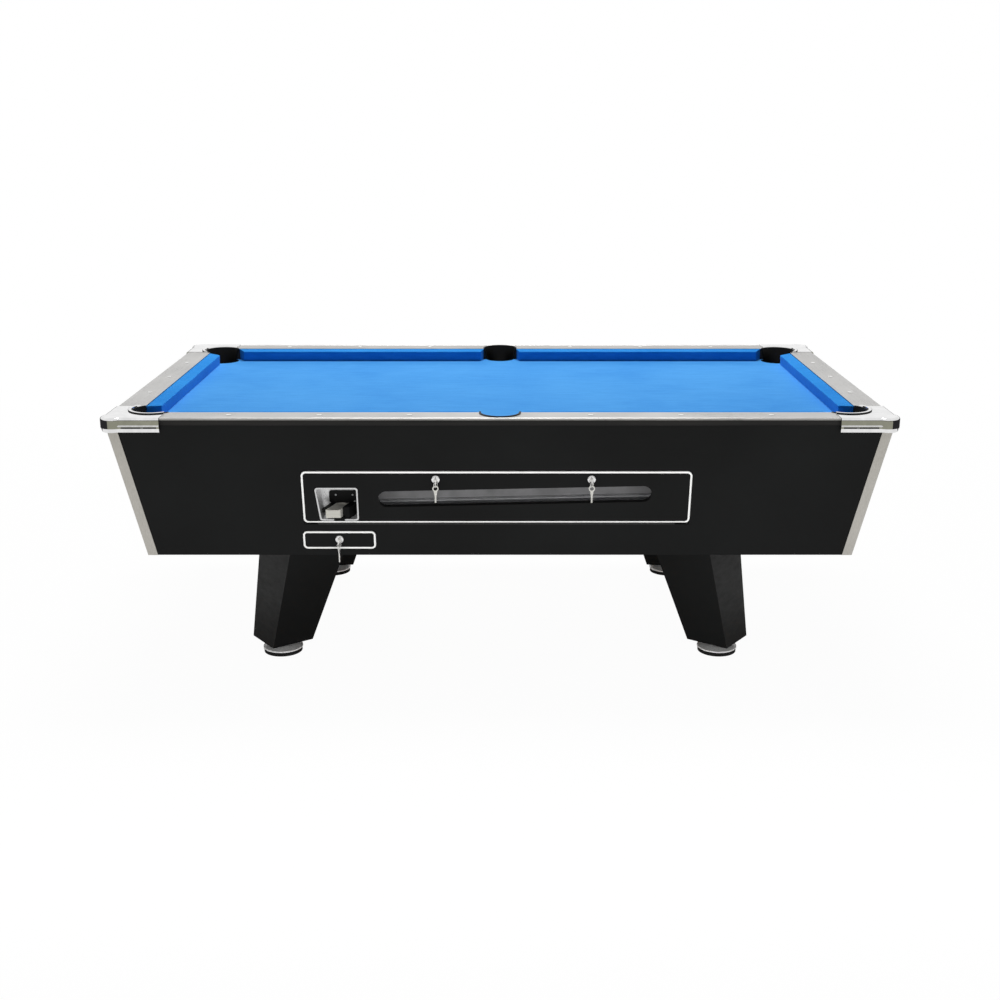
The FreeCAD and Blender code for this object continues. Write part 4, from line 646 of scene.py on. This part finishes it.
# Black strips in the grooves of the corner castings
GROOVE_DEEP = 0.003
GROOVE_FILL = 0.0018
GROOVE_H = 0.004
GROOVE_DROP = 0.027
GROOVE_Z = CAP_TOP - GROOVE_DROP
GROOVE_SPANS = ((0.047, 0.1), (0.106, 0.141))
STRIP_EDGE = 0.0006
STRIP_BACK_EDGE = 0.0002
STRIP_FIT = 0.0001
STRIP_END_FIT = 0.0002


def strip_mesh(start, stop):
    """Rubber strip along X, from start to stop, its back at Y 0 and its rounded face towards +Y."""
    high = GROOVE_H / 2 - STRIP_FIT
    section = rounded([
        (0, -high, STRIP_BACK_EDGE), (GROOVE_FILL, -high, STRIP_EDGE),
        (GROOVE_FILL, high, STRIP_EDGE), (0, high, STRIP_BACK_EDGE)], steps=3)
    rings = [[Vector((x, p.x, p.y)) for p in section] for x in (start, stop)]
    mesh = skin(rings)
    smooth(mesh)
    return mesh


def groove_strips():
    """Two strips along each outer face of each casting."""
    swap_xy = Matrix(((0, 1, 0, 0), (1, 0, 0, 0), (0, 0, 1, 0), (0, 0, 0, 1)))
    for corner, end, side in CORNERS:
        for number, (near, far) in enumerate(GROOVE_SPANS):
            along = strip_mesh(HALF_L - far + STRIP_END_FIT, HALF_L - near - STRIP_END_FIT)
            along.transform(Matrix.Translation((0, HALF_W + CAP_FACE - GROOVE_DEEP, GROOVE_Z)))
            across = strip_mesh(HALF_W - far + STRIP_END_FIT, HALF_W - near - STRIP_END_FIT)
            across.transform(Matrix.Translation((0, HALF_L + CAP_FACE - GROOVE_DEEP, GROOVE_Z)))
            across.transform(swap_xy)
            for kind, mesh, hand in (("long", along, 1), ("end", across, -1)):
                mesh.transform(Matrix.Diagonal((end, side, 1, 1)))
                if end * side * hand < 0:
                    mesh.flip_normals()
                piece("%s_%s_strip_%d" % (corner, kind, number + 1), mesh, "cabinet", "black_rubber")


groove_strips()

# Black band round the raised ring of each corner pocket
BAND_T = 0.0008
BAND_H = 0.0028
BAND_FIT = 0.0001
BAND_FOOT_EDGE = 0.0001
BAND_EDGE = 0.0003
BAND_STEPS = 48


def pocket_bands():
    """The band stops where the ring meets the casting's two ends."""
    far = CAP_REACH - CORNER_POCKET_INSET
    start = -math.asin(far / CAP_RIM_R)
    stop = math.pi / 2 - start
    low, high = CAP_TOP + BAND_FIT, CAP_TOP + BAND_H
    inner, outer = CAP_RIM_R + BAND_FIT, CAP_RIM_R + BAND_T
    section = rounded([
        (inner, low, BAND_FOOT_EDGE), (outer, low, BAND_FOOT_EDGE),
        (outer, high, BAND_EDGE), (inner, high, BAND_EDGE)], steps=3)
    for corner, end, side in CORNERS:
        rings = []
        for step in range(BAND_STEPS + 1):
            turn = start + (stop - start) * step / BAND_STEPS
            rings.append([Vector((end * (CORNER_POCKET[0] + p.x * math.cos(turn)),
                                  side * (CORNER_POCKET[1] + p.x * math.sin(turn)), p.y)) for p in section])
        mesh = skin(rings)
        smooth(mesh)
        piece(corner + "_pocket_band", mesh, "cabinet", "black_rubber")


pocket_bands()

# Rounded fold along the outer edge of each rail capping
FOLD_R = 0.0035
FOLD_OUT = 0.0014
FOLD_RISE = 0.0006
FOLD_TOP = RAIL_TOP + FOLD_RISE
FOLD_GAP = 0.0008
FOLD_STEPS = 16


def rail_folds():
    """One fold on each rail, from casting to casting."""
    turns = [2 * math.pi * i / FOLD_STEPS for i in range(FOLD_STEPS)]
    outs = [FOLD_OUT - FOLD_R + FOLD_R * math.cos(a) for a in turns]
    heights = [FOLD_TOP - FOLD_R + FOLD_R * math.sin(a) for a in turns]
    rails = (("front", HALF_L, long_place(1, -1)), ("rear", HALF_L, long_place(1, 1)),
             ("left", HALF_W, end_place(-1)), ("right", HALF_W, end_place(1)))
    for name, half, place in rails:
        reach = half - CAP_REACH - FOLD_GAP
        rings = [[place(-out, along, z) for out, z in zip(outs, heights)] for along in (-reach, 0, reach)]
        mesh = skin(rings)
        smooth(mesh)
        piece(name + "_rail_fold", mesh, "cabinet", "rail_steel")


rail_folds()


def lathe(profile, steps=24):
    """Closed turned mesh from a profile (radius, height), about Z."""
    rings = []
    for radius, height in profile:
        angles = [2 * math.pi * i / steps for i in range(steps)]
        rings.append([Vector((radius * math.cos(a), radius * math.sin(a), height)) for a in angles])
    return skin(rings)


def cut(mesh, tool):
    """The mesh with the tool's shape taken out of it."""
    holder = bpy.data.objects.new("passing", mesh)
    cutter = bpy.data.objects.new("cutter", tool)
    for passing in (holder, cutter):
        bpy.context.collection.objects.link(passing)
    modifier = holder.modifiers.new("cut", "BOOLEAN")
    modifier.operation = "DIFFERENCE"
    modifier.solver = "EXACT"
    modifier.object = cutter
    graph = bpy.context.evaluated_depsgraph_get()
    made = bpy.data.meshes.new_from_object(holder.evaluated_get(graph))
    for passing in (holder, cutter):
        bpy.data.objects.remove(passing)
    return made


def block(size, centre):
    """Plain cutting block."""
    half = Vector(size) / 2
    low = Vector(centre) - half
    high = Vector(centre) + half
    plan = ((low.x, low.y), (high.x, low.y), (high.x, high.y), (low.x, high.y))
    return skin([[Vector((x, y, z)) for x, y in plan] for z in (low.z, high.z)])


SCREW_R = 0.003
SCREW_H = 0.0018
SCREW_PROFILE = ((1, 0), (1, 0.35), (0.93, 0.62), (0.76, 0.86), (0.5, 0.97), (0.2, 1))
RECESS_LONG = 1.15
RECESS_WIDE = 0.3


def cross_screw():
    """Pan-head screw with a cross recess."""
    head = lathe([(SCREW_R * out, SCREW_H * up) for out, up in SCREW_PROFILE])
    for long, wide in ((RECESS_LONG, RECESS_WIDE), (RECESS_WIDE, RECESS_LONG)):
        head = cut(head, block((SCREW_R * long, SCREW_R * wide, SCREW_H), (0, 0, SCREW_H)))
    smooth(head, SHARP_DEG)
    return head


# Screws of the coin mechanism's face plate
PLATE_FACE = -0.0345
PLATE_SCREWS = ((-0.4535, 0.170), (-0.407, 0.170), (-0.4015, 0.1497))
for number, (u, v) in enumerate(PLATE_SCREWS):
    place = face_matrix(u, v, PLATE_FACE)
    piece("plate_screw_%d" % (number + 1), cross_screw(), "door", "plain_steel", place)

# Stage: a pale floor that runs up into the background, soft lamps, and cards that only gloss shows
FLOOR_SIZE = 60.0
FLOOR_SHARE = 0.965
FADE_NEAR = 0.3
FADE_FAR = 3.0
SHADE_HALF = (0.95, 0.45)
SHADE_EDGE = 0.5
CARD_NEAR = 1.5
CARD_FAR = 6.5
WALL_R = 5.5
WALL_H = 1.25
WALL_STEPS = 64
CARD_Z = 0.001
WALL_Z = 0.002
CARD_COLOURS = (("front", (156, 156, 140)), ("right", (46, 46, 48)), ("rear", (70, 70, 72)),
                ("left", (46, 46, 48)))
WALL_COLOUR = (34, 34, 36)
FLOOR_COLOUR = (0.86, 0.86, 0.855, 1)
WHITE = (1, 1, 1, 1)
SOFT_LIGHT = 0.13


def on_stage(name, corners, faces, material):
    mesh = bpy.data.meshes.new(name)
    mesh.from_pydata(corners, [], faces)
    mesh.materials.append(material)
    made = bpy.data.objects.new(name, mesh)
    bpy.context.collection.objects.link(made)
    return made


class StageShader(Wiring):
    """A stage surface or the world, wired up from nothing."""

    def __init__(self, holder):
        holder.use_nodes = True
        super().__init__(holder.node_tree)
        self.tree.nodes.clear()

    def shade(self, kind, colour, strength=None):
        """Output of a plain shader node of one colour."""
        made = self.node(kind)
        made.inputs["Color"].default_value = colour
        if strength is not None:
            made.inputs["Strength"].default_value = strength
        return made.outputs[0]

    def rays(self):
        """1 for what the camera sees straight, and 1 for what it sees in gloss or through glass."""
        path = self.node("ShaderNodeLightPath")
        second = self.math("MAXIMUM", path.outputs["Is Glossy Ray"], path.outputs["Is Transmission Ray"])
        return path.outputs["Is Camera Ray"], second

    def mixed(self, factor, first, second):
        mix = self.node("ShaderNodeMixShader")
        self.link(factor, mix.inputs["Fac"])
        self.link(first, mix.inputs[1])
        self.link(second, mix.inputs[2])
        return mix.outputs["Shader"]

    def shown(self, surface, kind="ShaderNodeOutputMaterial"):
        self.link(surface, self.node(kind).inputs["Surface"])


def pale_floor():
    """Floor that the camera sees as white with a faint shadow; in gloss it is shaded under the table."""
    material = bpy.data.materials.new("pale_floor")
    shader = StageShader(material)
    matte = shader.shade("ShaderNodeBsdfDiffuse", FLOOR_COLOUR)
    glow = shader.shade("ShaderNodeEmission", WHITE)
    position = shader.node("ShaderNodeNewGeometry").outputs["Position"]
    past = [shader.math("SUBTRACT", shader.math("ABSOLUTE", shader.axis(position, letter)), half)
            for letter, half in zip("XY", SHADE_HALF)]
    beyond = shader.math("MAXIMUM", *past)
    straight, in_gloss = shader.rays()
    clear = shader.ranged(beyond, FLOOR_SHARE, 1.0, FADE_NEAR, FADE_FAR)
    open_floor = shader.ranged(beyond, 0.0, FLOOR_SHARE, 0.0, SHADE_EDGE)
    share = shader.math("MAXIMUM", shader.math("MULTIPLY", straight, clear),
                        shader.math("MULTIPLY", in_gloss, open_floor))
    shader.shown(shader.mixed(share, matte, glow))
    half = FLOOR_SIZE / 2
    corners = [(-half, -half, 0), (half, -half, 0), (half, half, 0), (-half, half, 0)]
    on_stage("floor", corners, [(0, 1, 2, 3)], material)


def only_in_gloss(name, corners, faces, colour):
    """Card that shows in metal alone, as the floor and walls of a showroom do."""
    material = bpy.data.materials.new(name)
    shader = StageShader(material)
    shader.shown(shader.shade("ShaderNodeEmission", colour))
    card = on_stage(name, corners, faces, material)
    card.visible_camera = False
    card.visible_diffuse = False
    card.visible_shadow = False
    card.visible_transmission = False


def gloss_cards():
    """Floor round the table, warm in front and dark elsewhere, and a low dark wall further out."""
    signs = ((-1, -1), (1, -1), (1, 1), (-1, 1))
    near, far = [[(sx * (HALF_L + reach), sy * (HALF_W + reach), CARD_Z) for sx, sy in signs]
                 for reach in (CARD_NEAR, CARD_FAR)]
    for i, (side, colour) in enumerate(CARD_COLOURS):
        j = (i + 1) % len(signs)
        corners = [near[i], far[i], far[j], near[j]]
        only_in_gloss("gloss_floor_" + side, corners, [(0, 1, 2, 3)], linear(*colour))
    turns = [2 * math.pi * i / WALL_STEPS for i in range(WALL_STEPS)]
    corners = [(WALL_R * math.cos(a), WALL_R * math.sin(a), z) for z in (WALL_Z, WALL_H) for a in turns]
    following = [(i, (i + 1) % WALL_STEPS) for i in range(WALL_STEPS)]
    faces = [(i, j, WALL_STEPS + j, WALL_STEPS + i) for i, j in following]
    only_in_gloss("gloss_wall", corners, faces, linear(*WALL_COLOUR))


def background():
    """White where it is seen, straight or in gloss, and a soft even light otherwise."""
    world = bpy.data.worlds.new("studio")
    bpy.context.scene.world = world
    shader = StageShader(world)
    soft = shader.shade("ShaderNodeBackground", WHITE, SOFT_LIGHT)
    white = shader.shade("ShaderNodeBackground", WHITE)
    seen = shader.math("MAXIMUM", *shader.rays())
    shader.shown(shader.mixed(seen, soft, white), "ShaderNodeOutputWorld")


def lamp(name, size, place, aim, power, in_gloss=True):
    """Soft rectangular lamp, which metal may or may not show."""
    light = bpy.data.lights.new(name, "AREA")
    light.shape = "RECTANGLE"
    light.size, light.size_y = size
    light.energy = power
    made = bpy.data.objects.new(name, light)
    made.location = place
    made.rotation_euler = (Vector(aim) - Vector(place)).to_track_quat("-Z", "Y").to_euler()
    made.visible_camera = False
    made.visible_glossy = in_gloss
    bpy.context.collection.objects.link(made)


pale_floor()
gloss_cards()
background()
lamp("overhead", (3.0, 2.0), (0, 2.0, 6.0), (0, 0.3, 0.7), 288)
lamp("behind", (5.0, 1.2), (0, 4.6, 2.3), (0, 0, 0.7), 90, in_gloss=False)
lamp("low_front", (5.0, 0.15), (0, -2.0, 0.67), (0, -0.5, 0.45), 34, in_gloss=False)

# Camera fitted to the photograph
CAMERA_PLACE = (0, -4.0985, 1.5335)
CAMERA_PITCH_DEG = 16.0
CAMERA_LENS_MM = 48.63
SENSOR_MM = 36
camera_data = bpy.data.cameras.new("camera")
camera_data.sensor_width = SENSOR_MM
camera_data.sensor_fit = "HORIZONTAL"
camera_data.lens = CAMERA_LENS_MM
camera = bpy.data.objects.new("camera", camera_data)
camera.location = CAMERA_PLACE
camera.rotation_euler = (math.radians(90 - CAMERA_PITCH_DEG), 0, 0)
bpy.context.collection.objects.link(camera)
bpy.context.scene.camera = camera
bpy.context.scene.view_settings.view_transform = "Standard"
